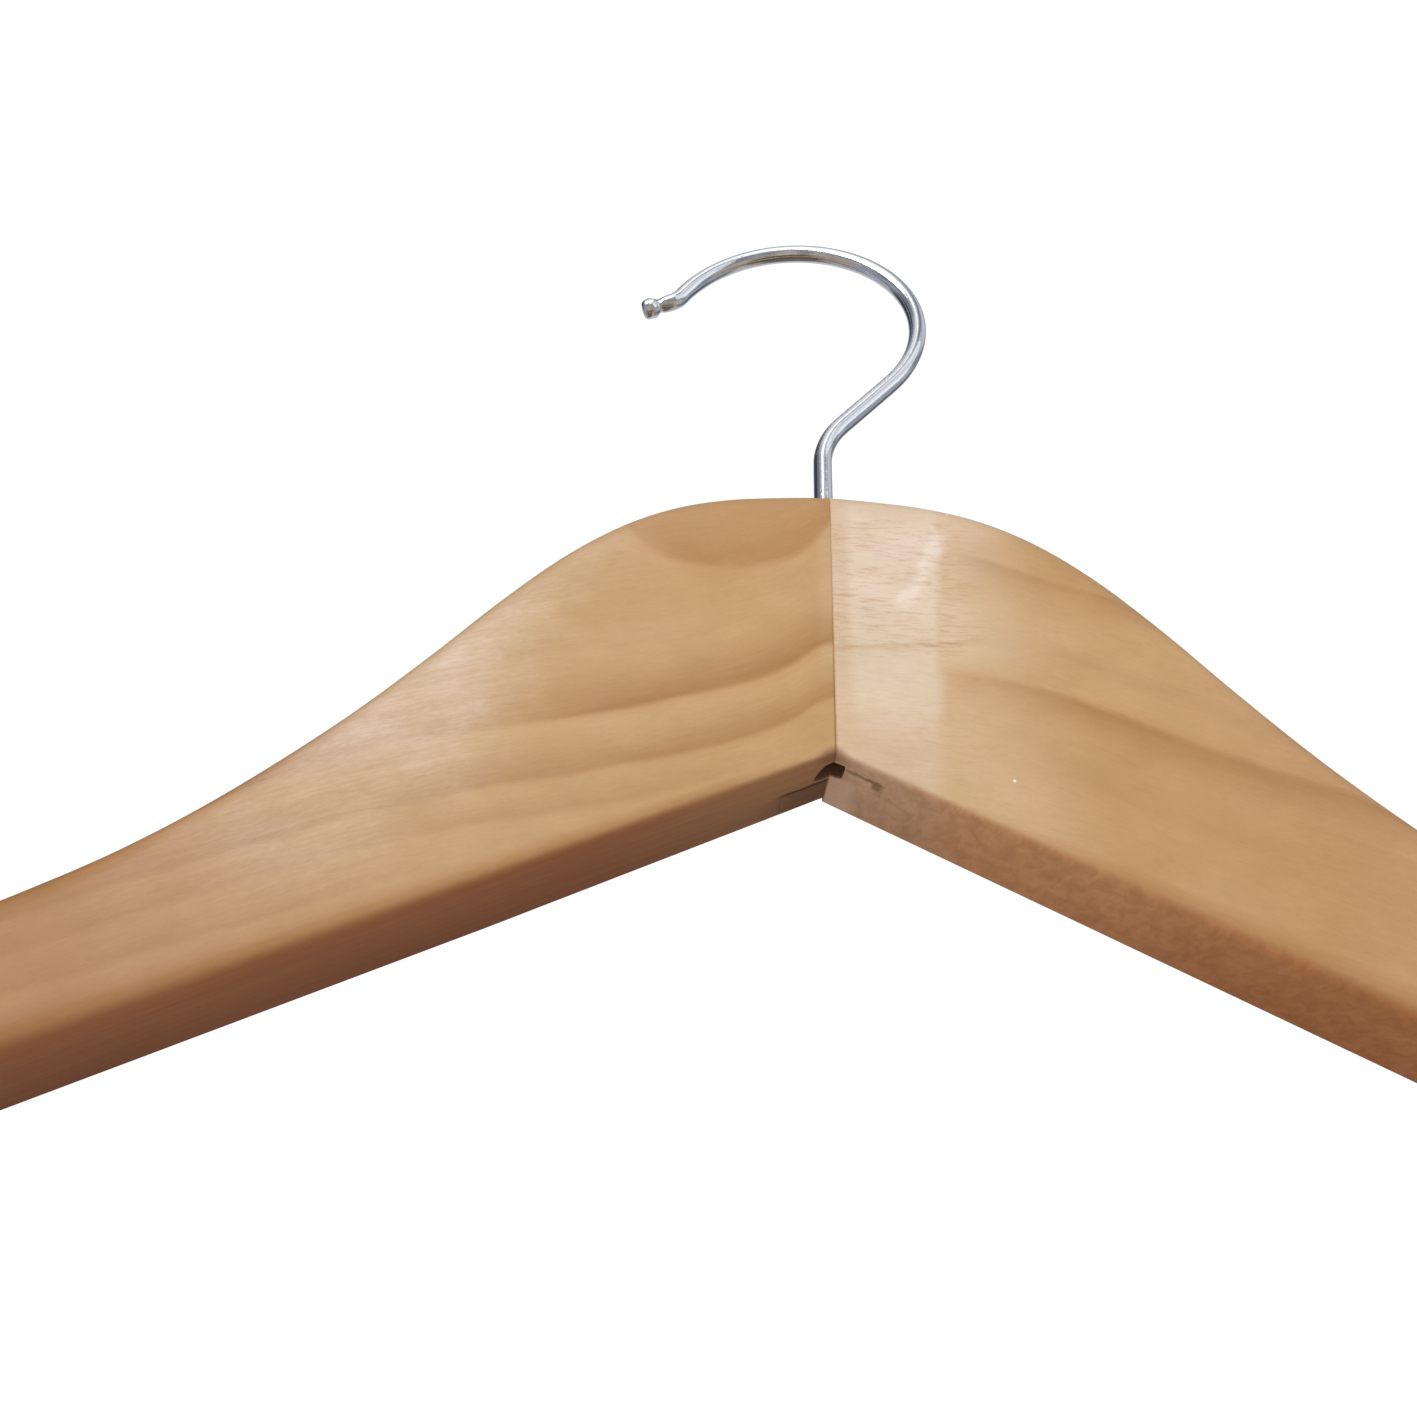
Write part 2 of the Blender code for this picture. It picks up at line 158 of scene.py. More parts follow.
def paired_outline():
    """Upper and lower outline of a right arm with as many points each, from past the
    seam to the middle of the end, so that the flat faces can be laid in a grid."""
    end = OVERALL_WIDTH / 2
    lean = math.atan(UNDERSIDE_SLOPE)
    top = lambda x: -shoulder(abs(x))
    xt = end - 1.0
    zt = top(xt)
    s = (zt - low(xt)) * math.cos(lean)
    xb = xt - s * math.sin(lean)
    zb = low(xb)
    arc1 = fillet((xt - 20.0, top(xt - 20.0)), (xt, zt), (xb, zb), END_ROUND_TOP, ARC)
    arc2 = fillet((xt, zt), (xb, zb), (xb - 20.0, low(xb - 20.0)), END_ROUND_LOW, ARC)
    shift = end - max(p[0] for p in arc1 + arc2)
    arc1 = [(x + shift, z - shift * UNDERSIDE_SLOPE * 0.91) for x, z in arc1]
    arc2 = [(x + shift, z - shift * UNDERSIDE_SLOPE) for x, z in arc2]
    up, dn = [], []
    for k in range(RUN):
        # evenly spaced stations along the arm
        t = k / RUN
        x1 = -OVER + (arc1[0][0] + OVER) * t
        x2 = -OVER + (arc2[-1][0] + OVER) * t
        up.append((x1, top(x1)))
        dn.append((x2, low(x2)))
    # put one lower point exactly on the foot of the seam
    k = min(range(RUN), key=lambda i: abs(dn[i][0]))
    dn[k] = (0.0, low(0.0))
    up += arc1
    dn += list(reversed(arc2))
    mid = ((up[-1][0] + dn[-1][0]) / 2, (up[-1][1] + dn[-1][1]) / 2)
    up.append(mid)
    dn.append(mid)
    return up, dn


UP, DN = paired_outline()
NS = len(UP)                   # stations; the last one is shared
LOOP = UP + list(reversed(DN[:-1]))


def edge_round(x, z, side, face):
    if side * x < -8.0:
        return 0.05
    lower = z < low(x) + 0.6
    if not lower:
        return TOP_EDGE_ROUND
    t = max(0.0, min(1.0, (OVERALL_WIDTH / 2 - abs(x) - 8.0) / 14.0))
    base = LOW_EDGE_ROUND_MID + (LOW_EDGE_ROUND_END - LOW_EDGE_ROUND_MID) * min(1.0, abs(x) / LOW_EDGE_FULL_X)
    r = TOP_EDGE_ROUND + (base - TOP_EDGE_ROUND) * t
    if side < 0 and face > 0:
        r += (LEFT_BACK_ROUND - LOW_EDGE_ROUND_MID) * max(0.0, 1.0 - abs(x) / LEFT_BACK_X)
    return r


def wave(x, z, k):
    """Slow unevenness of a hand-sanded face, mm, never outwards."""
    a = (math.sin(x * 0.071 + k) + math.sin(x * 0.043 - z * 0.097 + 2.1 * k)
         + math.sin(z * 0.151 + 0.7 * k) + math.sin((x + z) * 0.026 + 3.3 * k))
    return 0.055 * (a / 4.0 - 1.0)


STEPS = 9                      # facets across a rounding
ROWS = 14                      # rows of the face grid


def arm_blank(name, side):
    """One arm, finely sampled: outline rings drawn in by the rounding at each depth,
    and a grid over each face between its upper and lower edge."""
    loop = [(side * x, z) for x, z in LOOP]
    n = len(loop)
    area = sum(loop[i][0] * loop[(i + 1) % n][1] - loop[(i + 1) % n][0] * loop[i][1] for i in range(n))
    turn = 1.0 if area > 0 else -1.0
    inward = []
    for i in range(n):
        ax, az = loop[i - 1]
        bx, bz = loop[i]
        cx, cz = loop[(i + 1) % n]
        l1, l2 = math.hypot(bx - ax, bz - az), math.hypot(cx - bx, cz - bz)
        n1 = (-(bz - az) / l1 * turn, (bx - ax) / l1 * turn)
        n2 = (-(cz - bz) / l2 * turn, (cx - bx) / l2 * turn)
        mx, mz = n1[0] + n2[0], n1[1] + n2[1]
        k = 2.0 / (mx * mx + mz * mz)
        inward.append((mx * k, mz * k))
    bm = bmesh.new()
    rings = []
    steps = [(k, -1.0) for k in range(STEPS + 1)] + [(k, 1.0) for k in range(STEPS, -1, -1)]
    for k, face in steps:
        t = math.pi / 2 * k / STEPS
        ring = []
        for (x, z), (ix, iz) in zip(loop, inward):
            r = edge_round(x, z, side, face)
            d = r * (1.0 - math.sin(t))
            px, pz = x + ix * d, z + iz * d
            y = face * (half_thick(side * px) - r * (1.0 - math.cos(t)))
            y += (face * wave(px, pz, 1.0 if face < 0 else 2.0) * min(1.0, abs(px) / 10.0)
                  * (1.0 - k / STEPS))
            ring.append(bm.verts.new((px * MM, y * MM, (WOOD_TOP + pz) * MM)))
        rings.append(ring)
    for r0, r1 in zip(rings, rings[1:]):
        for i in range(n):
            j = (i + 1) % n
            bm.faces.new((r0[i], r0[j], r1[j], r1[i]))
    for ring, face in ((rings[0], -1.0), (rings[-1], 1.0)):
        grid = []
        for s in range(NS - 1):
            a, b = ring[s], ring[n - 1 - s]
            row = [a]
            for m in range(1, ROWS):
                q = m / ROWS
                p = a.co.lerp(b.co, q)
                px, pz = p.x / MM, p.z / MM - WOOD_TOP
                y = face * (half_thick(side * px)
                            + wave(px, pz, 1.0 if face < 0 else 2.0) * min(1.0, abs(px) / 10.0))
                row.append(bm.verts.new((p.x, y * MM, p.z)))
            row.append(b)
            grid.append(row)
        for s in range(NS - 2):
            for m in range(ROWS):
                bm.faces.new((grid[s][m], grid[s + 1][m], grid[s + 1][m + 1], grid[s][m + 1]))
        tip = ring[NS - 1]
        last = grid[-1]
        for m in range(ROWS):
            bm.faces.new((last[m], tip, last[m + 1]))
    bmesh.ops.recalc_face_normals(bm, faces=bm.faces)
    me = bpy.data.meshes.new(name)
    bm.to_mesh(me)
    bm.free()
    ob = bpy.data.objects.new(name, me)
    C.scene.collection.objects.link(ob)
    return ob


def prism(name, pts, z0, z1):
    """Outline in plan (x, y), mm, carried from z0 to z1 below the wood's top."""
    bm = bmesh.new()
    a = [bm.verts.new((x * MM, y * MM, (WOOD_TOP + z0) * MM)) for x, y in pts]
    b = [bm.verts.new((x * MM, y * MM, (WOOD_TOP + z1) * MM)) for x, y in pts]
    n = len(pts)
    for i in range(n):
        j = (i + 1) % n
        bm.faces.new((a[i], a[j], b[j], b[i]))
    bm.faces.new(a)
    bm.faces.new(b)
    bmesh.ops.recalc_face_normals(bm, faces=bm.faces)
    me = bpy.data.meshes.new(name)
    bm.to_mesh(me)
    bm.free()
    ob = bpy.data.objects.new(name, me)
    C.scene.collection.objects.link(ob)
    return ob


def drill(name, d, z0, z1):
    return prism(name, [(d / 2 * math.cos(2 * math.pi * k / 48), d / 2 * math.sin(2 * math.pi * k / 48))
                        for k in range(48)], z0, z1)


def cut(ob, tool, op):
    m = ob.modifiers.new("cut", "BOOLEAN")
    m.operation = op
    m.solver = "EXACT"
    m.object = tool
    return m


def bake(ob, tools):
    """Applies ob's modifiers and removes the tools."""
    C.view_layer.update()
    dg = C.evaluated_depsgraph_get()
    me = bpy.data.meshes.new_from_object(ob.evaluated_get(dg))
    me.name = ob.name
    ob.modifiers.clear()
    ob.data = me
    for t in tools:
        bpy.data.objects.remove(t)
    return ob


def zigzag(side, g):
    ys = T2 - FINGER_SKIN
    f = FINGER_LENGTH
    if side < 0:
        return [(-g, -30.0), (-g, -ys + g), (f - g, -ys + g), (f - g, -g),
                (-f - g, -g), (-f - g, ys + g), (-g, ys + g), (-g, 30.0)]
    return [(g, -30.0), (g, -ys - g), (f + g, -ys - g), (f + g, g),
            (-f + g, g), (-f + g, ys - g), (g, ys - g), (g, 30.0)]


def notch_outline():
    """Ragged foot of the joint, in plan."""
    x0, x1 = NOTCH_X
    y0, y1 = NOTCH_Y
    return [(x0 + 0.9, y0 + 0.5), (0.2, y0 + 0.15), (x1 - 0.1, y0), (x1, y0 + 1.6), (x1 - 0.15, y1 - 0.7),
            (0.6, y1 - 0.25), (-0.8, y1 + 0.05), (x0 - 0.1, y1 - 0.2), (x0 - 0.25, y1 - 1.0), (x0 + 0.2, y0 + 1.9)]


def make_arm(name, side):
    ob = arm_blank(name, side)
    g = 0.012
    keep = prism("keep", zigzag(side, g) + [(side * 300.0, 30.0), (side * 300.0, -30.0)], 40.0, -200.0)
    bore = drill("bore", BORE_D, 5.0, -POCKET_TOP - 0.5)
    pocket = drill("pocket", POCKET_D, -POCKET_TOP, -POCKET_TOP - POCKET_HEIGHT)
    notch = prism("notch", notch_outline(), -SEAM_HEIGHT - 6.0, -SEAM_HEIGHT + NOTCH_DEPTH)
    tools = [keep, bore, pocket, notch]
    cut(ob, keep, "INTERSECT")
    for t in tools[1:]:
        cut(ob, t, "DIFFERENCE")
    bake(ob, tools)
    me = ob.data
    me.shade_smooth()
    me.set_sharp_from_angle(angle=math.radians(28.0))
    m = ob.modifiers.new("even_normals", "WEIGHTED_NORMAL")
    m.keep_sharp = True
    m.weight = 60
    return ob


left = make_arm("left_arm_wood", -1)
right = make_arm("right_arm_wood", 1)


# ------------------------------------------------------------------ hook wire
def hook_centreline():
    """(u, z, radius) of the wire, finely stepped, z from the wood's top."""
    r = WIRE_D / 2 - 0.03
    out = []
    head_top = -POCKET_TOP - 0.3 - 0.8 - 0.3
    hr = 2.2
    for d, q in ((2.2, 0.35), (2.12, 0.62), (1.95, 0.80), (1.7, 0.93), (1.3, 0.99), (0.9, 1.0),
                 (0.45, 1.0), (0.15, 0.97), (0.04, 0.90), (0.0, 0.74)):
        out.append((0.0, head_top - d, hr * q))
    a = math.radians(LEAN_DEG)
    nx, nz = -math.cos(a), math.sin(a)
    tx, tz = ARC_OFFSET - ARC_RADIUS * nx, ARC_HEIGHT - ARC_RADIUS * nz
    s = (tx - SHANK_BEND_R * (1 - math.cos(a))) / math.sin(a)
    bx, bz = tx - s * math.sin(a), tz - s * math.cos(a)
    z1 = bz - SHANK_BEND_R * math.sin(a)
    for k in range(20):
        out.append((0.0, head_top + 0.2 + (z1 - head_top - 0.2) * k / 20, r))
    n = 20
    for k in range(n + 1):
        t = a * k / n
        out.append((SHANK_BEND_R * (1 - math.cos(t)), z1 + SHANK_BEND_R * math.sin(t), r))
    for k in range(1, 8):
        q = k / 8
        out.append((bx + (tx - bx) * q, bz + (tz - bz) * q, r))
    n = 120
    a0, a1 = -LEAN_DEG, ARC_END_DEG
    for k in range(n + 1):
        t = math.radians(a0 + (a1 - a0) * k / n)
        out.append((ARC_OFFSET + ARC_RADIUS * math.cos(t), ARC_HEIGHT + ARC_RADIUS * math.sin(t), r))
    t = math.radians(ARC_END_DEG)
    px, pz = out[-1][0], out[-1][1]
    dx, dz = -math.sin(t), math.cos(t)
    cx, cz = px + dz * TIP_BEND_R, pz - dx * TIP_BEND_R
    n = 14
    for k in range(1, n + 1):
        b = math.radians(TIP_BEND_DEG) * k / n
        vx, vz = px - cx, pz - cz
        out.append((cx + vx * math.cos(b) + vz * math.sin(b),
                    cz - vx * math.sin(b) + vz * math.cos(b), r))
    b = math.radians(TIP_BEND_DEG)
    ex, ez = dx * math.cos(b) + dz * math.sin(b), -dx * math.sin(b) + dz * math.cos(b)
    px, pz = out[-1][0], out[-1][1]
    ball = BALL_D / 2 - 0.17
    neck = TIP_STRAIGHT
    for d, q in ((0.4, r * 0.99), (0.9, r * 0.975), (1.3, r * 0.95), (1.6, r * 0.92), (1.9, r * 0.89), (2.15, r * 0.86),
                 (2.35, r * 0.86), (2.55, r * 0.89), (2.72, r * 0.96), (2.88, ball * 0.83), (3.08, ball * 0.90),
                 (3.4, ball * 0.96), (3.8, ball * 0.99), (4.2, ball), (4.6, ball * 0.985), (4.95, ball * 0.945),
                 (5.25, ball * 0.87), (5.45, ball * 0.78), (5.56, ball * 0.66), (5.62, ball * 0.42)):
        out.append((px + ex * d, pz + ez * d, q))
    return out


def tube(name, path, sides, wrinkle=None):
    """Swept round wire along a plane path, with its own radius at each point."""
    bm = bmesh.new()
    rings = []
    n = len(path)
    for i, (u, z, q) in enumerate(path):
        u0, z0 = path[max(0, i - 1)][:2]
        u1, z1 = path[min(n - 1, i + 1)][:2]
        tx, tz = u1 - u0, z1 - z0
        l = math.hypot(tx, tz)
        tx, tz = tx / l, tz / l
        nx, nz = -tz, tx
        ring = []
        for k in range(sides):
            a = 2 * math.pi * k / sides
            qq = q + (wrinkle(i, a) if wrinkle else 0.0)
            ring.append(bm.verts.new(((u + nx * qq * math.cos(a)) * MM, qq * math.sin(a) * MM,
                                      (z + nz * qq * math.cos(a)) * MM)))
        rings.append(ring)
    for r0, r1 in zip(rings, rings[1:]):
        for k in range(sides):
            j = (k + 1) % sides
            bm.faces.new((r0[k], r0[j], r1[j], r1[k]))
    for ring in (rings[0], rings[-1]):
        bm.faces.new(ring)
    bmesh.ops.recalc_face_normals(bm, faces=bm.faces)
    me = bpy.data.meshes.new(name)
    bm.to_mesh(me)
    bm.free()
    me.transform(Matrix.Translation((0, 0, WOOD_TOP * MM)) @ Matrix.Rotation(math.radians(HOOK_TURN_DEG), 4, "Z"))
    me.shade_smooth()
    me.set_sharp_from_angle(angle=math.radians(50.0))
    ob = bpy.data.objects.new(name, me)
    C.scene.collection.objects.link(ob)
    return ob


PATH = hook_centreline()
NP = len(PATH)


def hook_wrinkle(i, a):
    """Swaging marks behind the ball and on its side; shallow tool marks in the bends."""
    e = NP - 1 - i
    w = 0.0
    if e < 20:
        f = math.sin(math.pi * min(1.0, (e + 2) / 11.0) / 2) * min(1.0, (20 - e) / 6.0)
        w -= 0.11 * f * (0.5 + 0.5 * math.sin(3 * a + e * 0.9)) + 0.045 * f * (1.0 + math.sin(5 * a - e * 1.5))
    elif 20 <= e < 36:
        w -= 0.035 * (0.5 + 0.5 * math.sin(2 * a + e * 0.8)) * (36 - e) / 16
    return w


wire = tube("hook_wire", PATH, 40, hook_wrinkle)


# washer with broken edges, in the pocket
def turned(name, prof, n):
    bm = bmesh.new()
    rings = []
    for k in range(n):
        a = 2 * math.pi * k / n
        rings.append([bm.verts.new((x * math.cos(a) * MM, x * math.sin(a) * MM, (WOOD_TOP + z) * MM)) for x, z in prof])
    m = len(prof)
    for k in range(n):
        r0, r1 = rings[k], rings[(k + 1) % n]
        for i in range(m):
            j = (i + 1) % m
            bm.faces.new((r0[i], r0[j], r1[j], r1[i]))
    bmesh.ops.recalc_face_normals(bm, faces=bm.faces)
    me = bpy.data.meshes.new(name)
    bm.to_mesh(me)
    bm.free()
    me.shade_smooth()
    me.set_sharp_from_angle(angle=math.radians(30.0))
    ob = bpy.data.objects.new(name, me)
    C.scene.collection.objects.link(ob)
    return ob


zt = -POCKET_TOP - 0.3
washer = turned("neck_washer", [(2.0, zt - 0.08), (1.9 + 0.1, zt - 0.72), (2.08, zt - 0.8), (2.4, zt - 0.8), (2.5, zt - 0.7),
                                (2.5, zt - 0.1), (2.4, zt), (2.08, zt)], 48)


# ------------------------------------------------------------------ node helpers
def lin(c):
    """0-255 display value to a linear one."""
    c = c / 255.0
    return c / 12.92 if c <= 0.04045 else ((c + 0.055) / 1.055) ** 2.4


def rgb(r, g, b, k=1.0):
    return (lin(r) * k, lin(g) * k, lin(b) * k, 1.0)


class Net:
    """Short way to write node arithmetic: every method returns a socket."""

    def __init__(self, tree):
        self.t = tree

    def node(self, kind, **props):
        n = self.t.nodes.new(kind)
        for k, v in props.items():
            setattr(n, k, v)
        return n

    def put(self, sock, v):
        if isinstance(v, bpy.types.NodeSocket):
            self.t.links.new(v, sock)
        else:
            sock.default_value = v

    def m(self, op, a, b=None, c=None, clamp=False):
        n = self.node("ShaderNodeMath", operation=op, use_clamp=clamp)
        for i, v in enumerate((a, b, c)):
            if v is not None:
                self.put(n.inputs[i], v)
        return n.outputs[0]

    def add(self, a, b): return self.m("ADD", a, b)
    def sub(self, a, b): return self.m("SUBTRACT", a, b)
    def mul(self, a, b): return self.m("MULTIPLY", a, b)
    def mad(self, a, b, c): return self.m("MULTIPLY_ADD", a, b, c)
    def abs(self, a): return self.m("ABSOLUTE", a)
    def inv(self, a): return self.m("SUBTRACT", 1.0, a)

    def step(self, v, a, b):
        """0 below a, 1 above b, smooth between; a > b turns it round."""
        n = self.node("ShaderNodeMapRange", interpolation_type="SMOOTHSTEP")
        if a <= b:
            lo, hi, t0, t1 = a, b, 0.0, 1.0
        else:
            lo, hi, t0, t1 = b, a, 1.0, 0.0
        self.put(n.inputs["Value"], v)
        n.inputs["From Min"].default_value = lo
        n.inputs["From Max"].default_value = hi
        n.inputs["To Min"].default_value = t0
        n.inputs["To Max"].default_value = t1
        return n.outputs["Result"]

    def all(self, *v):
        out = v[0]
        for w in v[1:]:
            out = self.mul(out, w)
        return out

    def vec(self, x, y, z):
        n = self.node("ShaderNodeCombineXYZ")
        for i, v in enumerate((x, y, z)):
            self.put(n.inputs[i], v)
        return n.outputs[0]

    def noise(self, v, scale=1.0, detail=3.0, rough=0.5, dist=0.0):
        n = self.node("ShaderNodeTexNoise")
        self.put(n.inputs["Vector"], v)
        n.inputs["Scale"].default_value = scale
        n.inputs["Detail"].default_value = detail
        n.inputs["Roughness"].default_value = rough
        n.inputs["Distortion"].default_value = dist
        return n.outputs[0]

    def curve(self, v, pts, x0, x1, y0, y1):
        """Smooth curve through pts, in the units of v."""
        n = self.node("ShaderNodeFloatCurve")
        n.mapping.use_clip = False
        c = n.mapping.curves[0]
        q = [((x - x0) / (x1 - x0), (y - y0) / (y1 - y0)) for x, y in pts]
        c.points[0].location = q[0]
        c.points[1].location = q[-1]
        for x, y in q[1:-1]:
            c.points.new(x, y)
        n.mapping.update()
        u = self.m("MULTIPLY_ADD", v, 1.0 / (x1 - x0), -x0 / (x1 - x0), clamp=True)
        n.inputs["Factor"].default_value = 1.0
        self.put(n.inputs["Value"], u)
        return self.mad(n.outputs[0], y1 - y0, y0)

    def ramp(self, v, stops):
        n = self.node("ShaderNodeValToRGB")
        e = n.color_ramp.elements
        n.color_ramp.interpolation = "LINEAR"
        while len(e) < len(stops):
            e.new(0.5)
        for el, (pos, val) in zip(e, stops):
            el.position = pos
            el.color = (val, val, val, 1.0) if not isinstance(val, tuple) else val
        self.put(n.inputs[0], v)
        return n.outputs[0]

    def mix(self, f, a, b, blend="MIX"):
        n = self.node("ShaderNodeMix", data_type="RGBA", blend_type=blend, clamp_factor=True)
        self.put(n.inputs[0], f)
        self.put(n.inputs[6], a)
        self.put(n.inputs[7], b)
        return n.outputs[2]

    def mm(self):
        """Object coordinates in mm: x, y, z under the wood's top."""
        tc = self.node("ShaderNodeTexCoord")
        s = self.node("ShaderNodeVectorMath", operation="SCALE")
        self.t.links.new(tc.outputs["Object"], s.inputs[0])
        s.inputs["Scale"].default_value = 1000.0
        sep = self.node("ShaderNodeSeparateXYZ")
        self.t.links.new(s.outputs[0], sep.inputs[0])
        return sep.outputs[0], sep.outputs[1], self.sub(sep.outputs[2], WOOD_TOP)


def new_material(name):
    m = bpy.data.materials.new(name)
    m.use_nodes = True
    t = m.node_tree
    t.nodes.clear()
    out = t.nodes.new("ShaderNodeOutputMaterial")
    b = t.nodes.new("ShaderNodeBsdfPrincipled")
    t.links.new(b.outputs[0], out.inputs[0])
    return m, Net(t), b


GAIN = 0.75                    # albedo per display value, for this lighting


# ------------------------------------------------------------------ wood
def wood(name, side):
    m, N, B = new_material(name)
    x, y, z = N.mm()
    sx = N.mul(x, float(side))                       # distance from the seam, signed
    ax = N.m("MAXIMUM", sx, 0.0)
    ay = N.abs(y)
    depth = N.sub(N.mad(ax, ARM_TAPER / 2, T2), ay)  # 0 on the faces, more on the edges
    dlow = N.add(z, N.mad(N.abs(x), UNDERSIDE_SLOPE, SEAM_HEIGHT))   # above the lower edge
    rlow = N.mad(N.m("MINIMUM", ax, LOW_EDGE_FULL_X), (LOW_EDGE_ROUND_END - LOW_EDGE_ROUND_MID) / LOW_EDGE_FULL_X,
                 LOW_EDGE_ROUND_MID)
    under = N.step(N.m("DIVIDE", dlow, rlow), 0.78, 0.06)
    front = N.step(y, 0.5, -0.5)

    def noise3(px, py, pz, detail=3.0, rough=0.55, dist=0.0):
        return N.noise(N.vec(px, py, pz), 1.0, detail, rough, dist)

    def tinted(c, r, g, b):
        return N.mix(1.0, c, (r, g, b, 1.0), "MULTIPLY")

    # ring lines run along curves of one shape
    if side < 0:
        pts = [(-8, -30.0), (0, -30.4), (6, -34.2), (13, -37.8), (22.5, -41.0), (36, -44.5), (46, -47.3),
               (56, -50.6), (70, -56.0), (85, -62.3), (100, -69.0), (150, -91.0), (225, -124.0)]
    else:
        pts = [(-8, -30.5), (0, -31.0), (16, -33.3), (26.6, -35.6), (39, -40.1), (50.8, -45.0), (62.5, -49.0),
               (75, -54.0), (90, -60.5), (110, -69.5), (150, -88.0), (225, -122.0)]
    zr = N.curve(ax, pts, -8.0, 225.0, -130.0, -20.0)
    sway = noise3(N.mul(x, 1 / 24.0), N.mul(y, 1 / 16.0), N.mul(z, 1 / 11.0), 2.0, 0.5)
    v = N.add(N.sub(z, zr), N.mad(sway, 2.6, -1.3))
    v = N.add(v, N.mul(N.add(y, T2), 0.30))          # the rings lean through the thickness

    # figure of the wood at four sizes, drawn out along the rings
    f0 = noise3(N.mul(ax, 1 / 1.1), N.mul(v, 1 / 0.30), N.mul(y, 1 / 0.4), 2.0, 0.6)
    f1 = noise3(N.mul(ax, 1 / 5.0), N.mul(v, 1 / 0.55), N.mul(y, 1 / 0.8), 3.0, 0.65)
    f2 = noise3(N.mul(ax, 1 / 17.0), N.mul(v, 1 / 1.7), N.mul(y, 1 / 2.4), 3.0, 0.6)
    f3 = noise3(N.mul(ax, 1 / 40.0), N.mul(v, 1 / 6.0), N.mul(y, 1 / 8.0), 2.0, 0.5)
    mott = noise3(N.mul(x, 1 / 6.0), N.mul(y, 1 / 6.0), N.mul(z, 1 / 4.5), 3.0, 0.6)
    hue = noise3(N.mul(x, 1 / 15.0), N.mul(y, 1 / 12.0), N.mad(z, 1 / 10.0, 7.0), 2.0, 0.5)
    vj = N.add(v, N.mad(f1, 0.9, -0.45))             # ring position with ragged edges

    if side < 0:
        base = N.mix(N.step(ax, 44.0, 92.0), rgb(195, 155, 107, GAIN), rgb(181, 134, 88, GAIN))
        base = N.mix(N.step(v, -1.0, -5.0), base, tinted(base, 0.955, 0.945, 0.93))
        base = N.mix(N.all(N.step(ax, 12.0, 30.0), N.step(z, -42.0, -30.0)), base, tinted(base, 1.0, 1.015, 1.05))
    else:
        base = N.mix(N.step(ax, 15.0, 36.0), rgb(207, 172, 132, GAIN), rgb(190, 149, 101, GAIN))
        base = N.mix(N.step(ax, 38.0, 66.0), base, rgb(188, 145, 99, GAIN))
        hi = N.all(N.step(v, -0.8, 1.6), N.step(ax, 22.0, 34.0), N.step(ax, 66.0, 48.0))
        base = N.mix(hi, base, tinted(base, 1.07, 1.10, 1.15))

    # early/late wood: each band is sharp on one side and fades on the other
    def band(centre, sharp, fade, up):
        """1 at the sharp edge at v = centre, falling to 0 over fade on one side."""
        d = N.sub(vj, centre) if up else N.sub(centre, vj)
        f = N.m("POWER", N.m("SUBTRACT", 1.0, N.m("DIVIDE", d, fade), clamp=True), 1.35)
        return N.mul(f, N.step(d, -sharp * 0.5, sharp * 0.6))

    quiet = N.mul(N.mad(N.step(f3, 0.32, 0.60), 0.30, 0.75), N.mad(N.step(hue, 0.34, 0.62), 0.35, 0.75))
    if side < 0:
        far = N.mad(N.step(ax, 30.0, 60.0), -0.45, 1.0)
        b = N.all(band(0.1, 1.3, 9.5, True), far)
        b = N.add(b, N.all(band(-8.7, 1.2, 5.4, True), 0.95, far))
        b = N.add(b, N.all(band(-13.6, 1.2, 3.6, True), 0.42, N.step(ax, 8.0, 22.0)))
        b = N.add(b, N.all(band(-19.0, 1.4, 4.2, True), 0.40, N.step(ax, 40.0, 60.0)))
        b = N.add(b, N.all(band(11.0, 1.6, 5.0, True), 0.20, N.step(ax, 26.0, 44.0)))
        b = N.add(b, N.all(band(19.0, 1.6, 5.0, True), 0.16, N.step(ax, 26.0, 44.0)))
        b = N.mul(b, quiet)
        col = N.mix(b, base, tinted(base, 0.730, 0.610, 0.470))
        # pale line just under a dark band
        ln = N.add(N.all(N.step(N.abs(N.add(vj, 2.0)), 1.6, 0.2), 0.6), N.all(N.step(N.abs(N.add(vj, 10.6)), 1.4, 0.2), 0.4))
        col = N.mix(N.mul(ln, far), col, tinted(col, 1.03, 1.05, 1.08))
    else:
        on = N.mad(N.step(ax, 14.0, 19.0), 0.93, 0.07)
        far = N.mad(N.step(ax, 56.0, 80.0), -0.45, 1.0)
        b = N.all(band(-0.4, 1.5, 6.4, False), on, far, N.mad(N.step(ax, 40.0, 22.0), -0.28, 1.0))
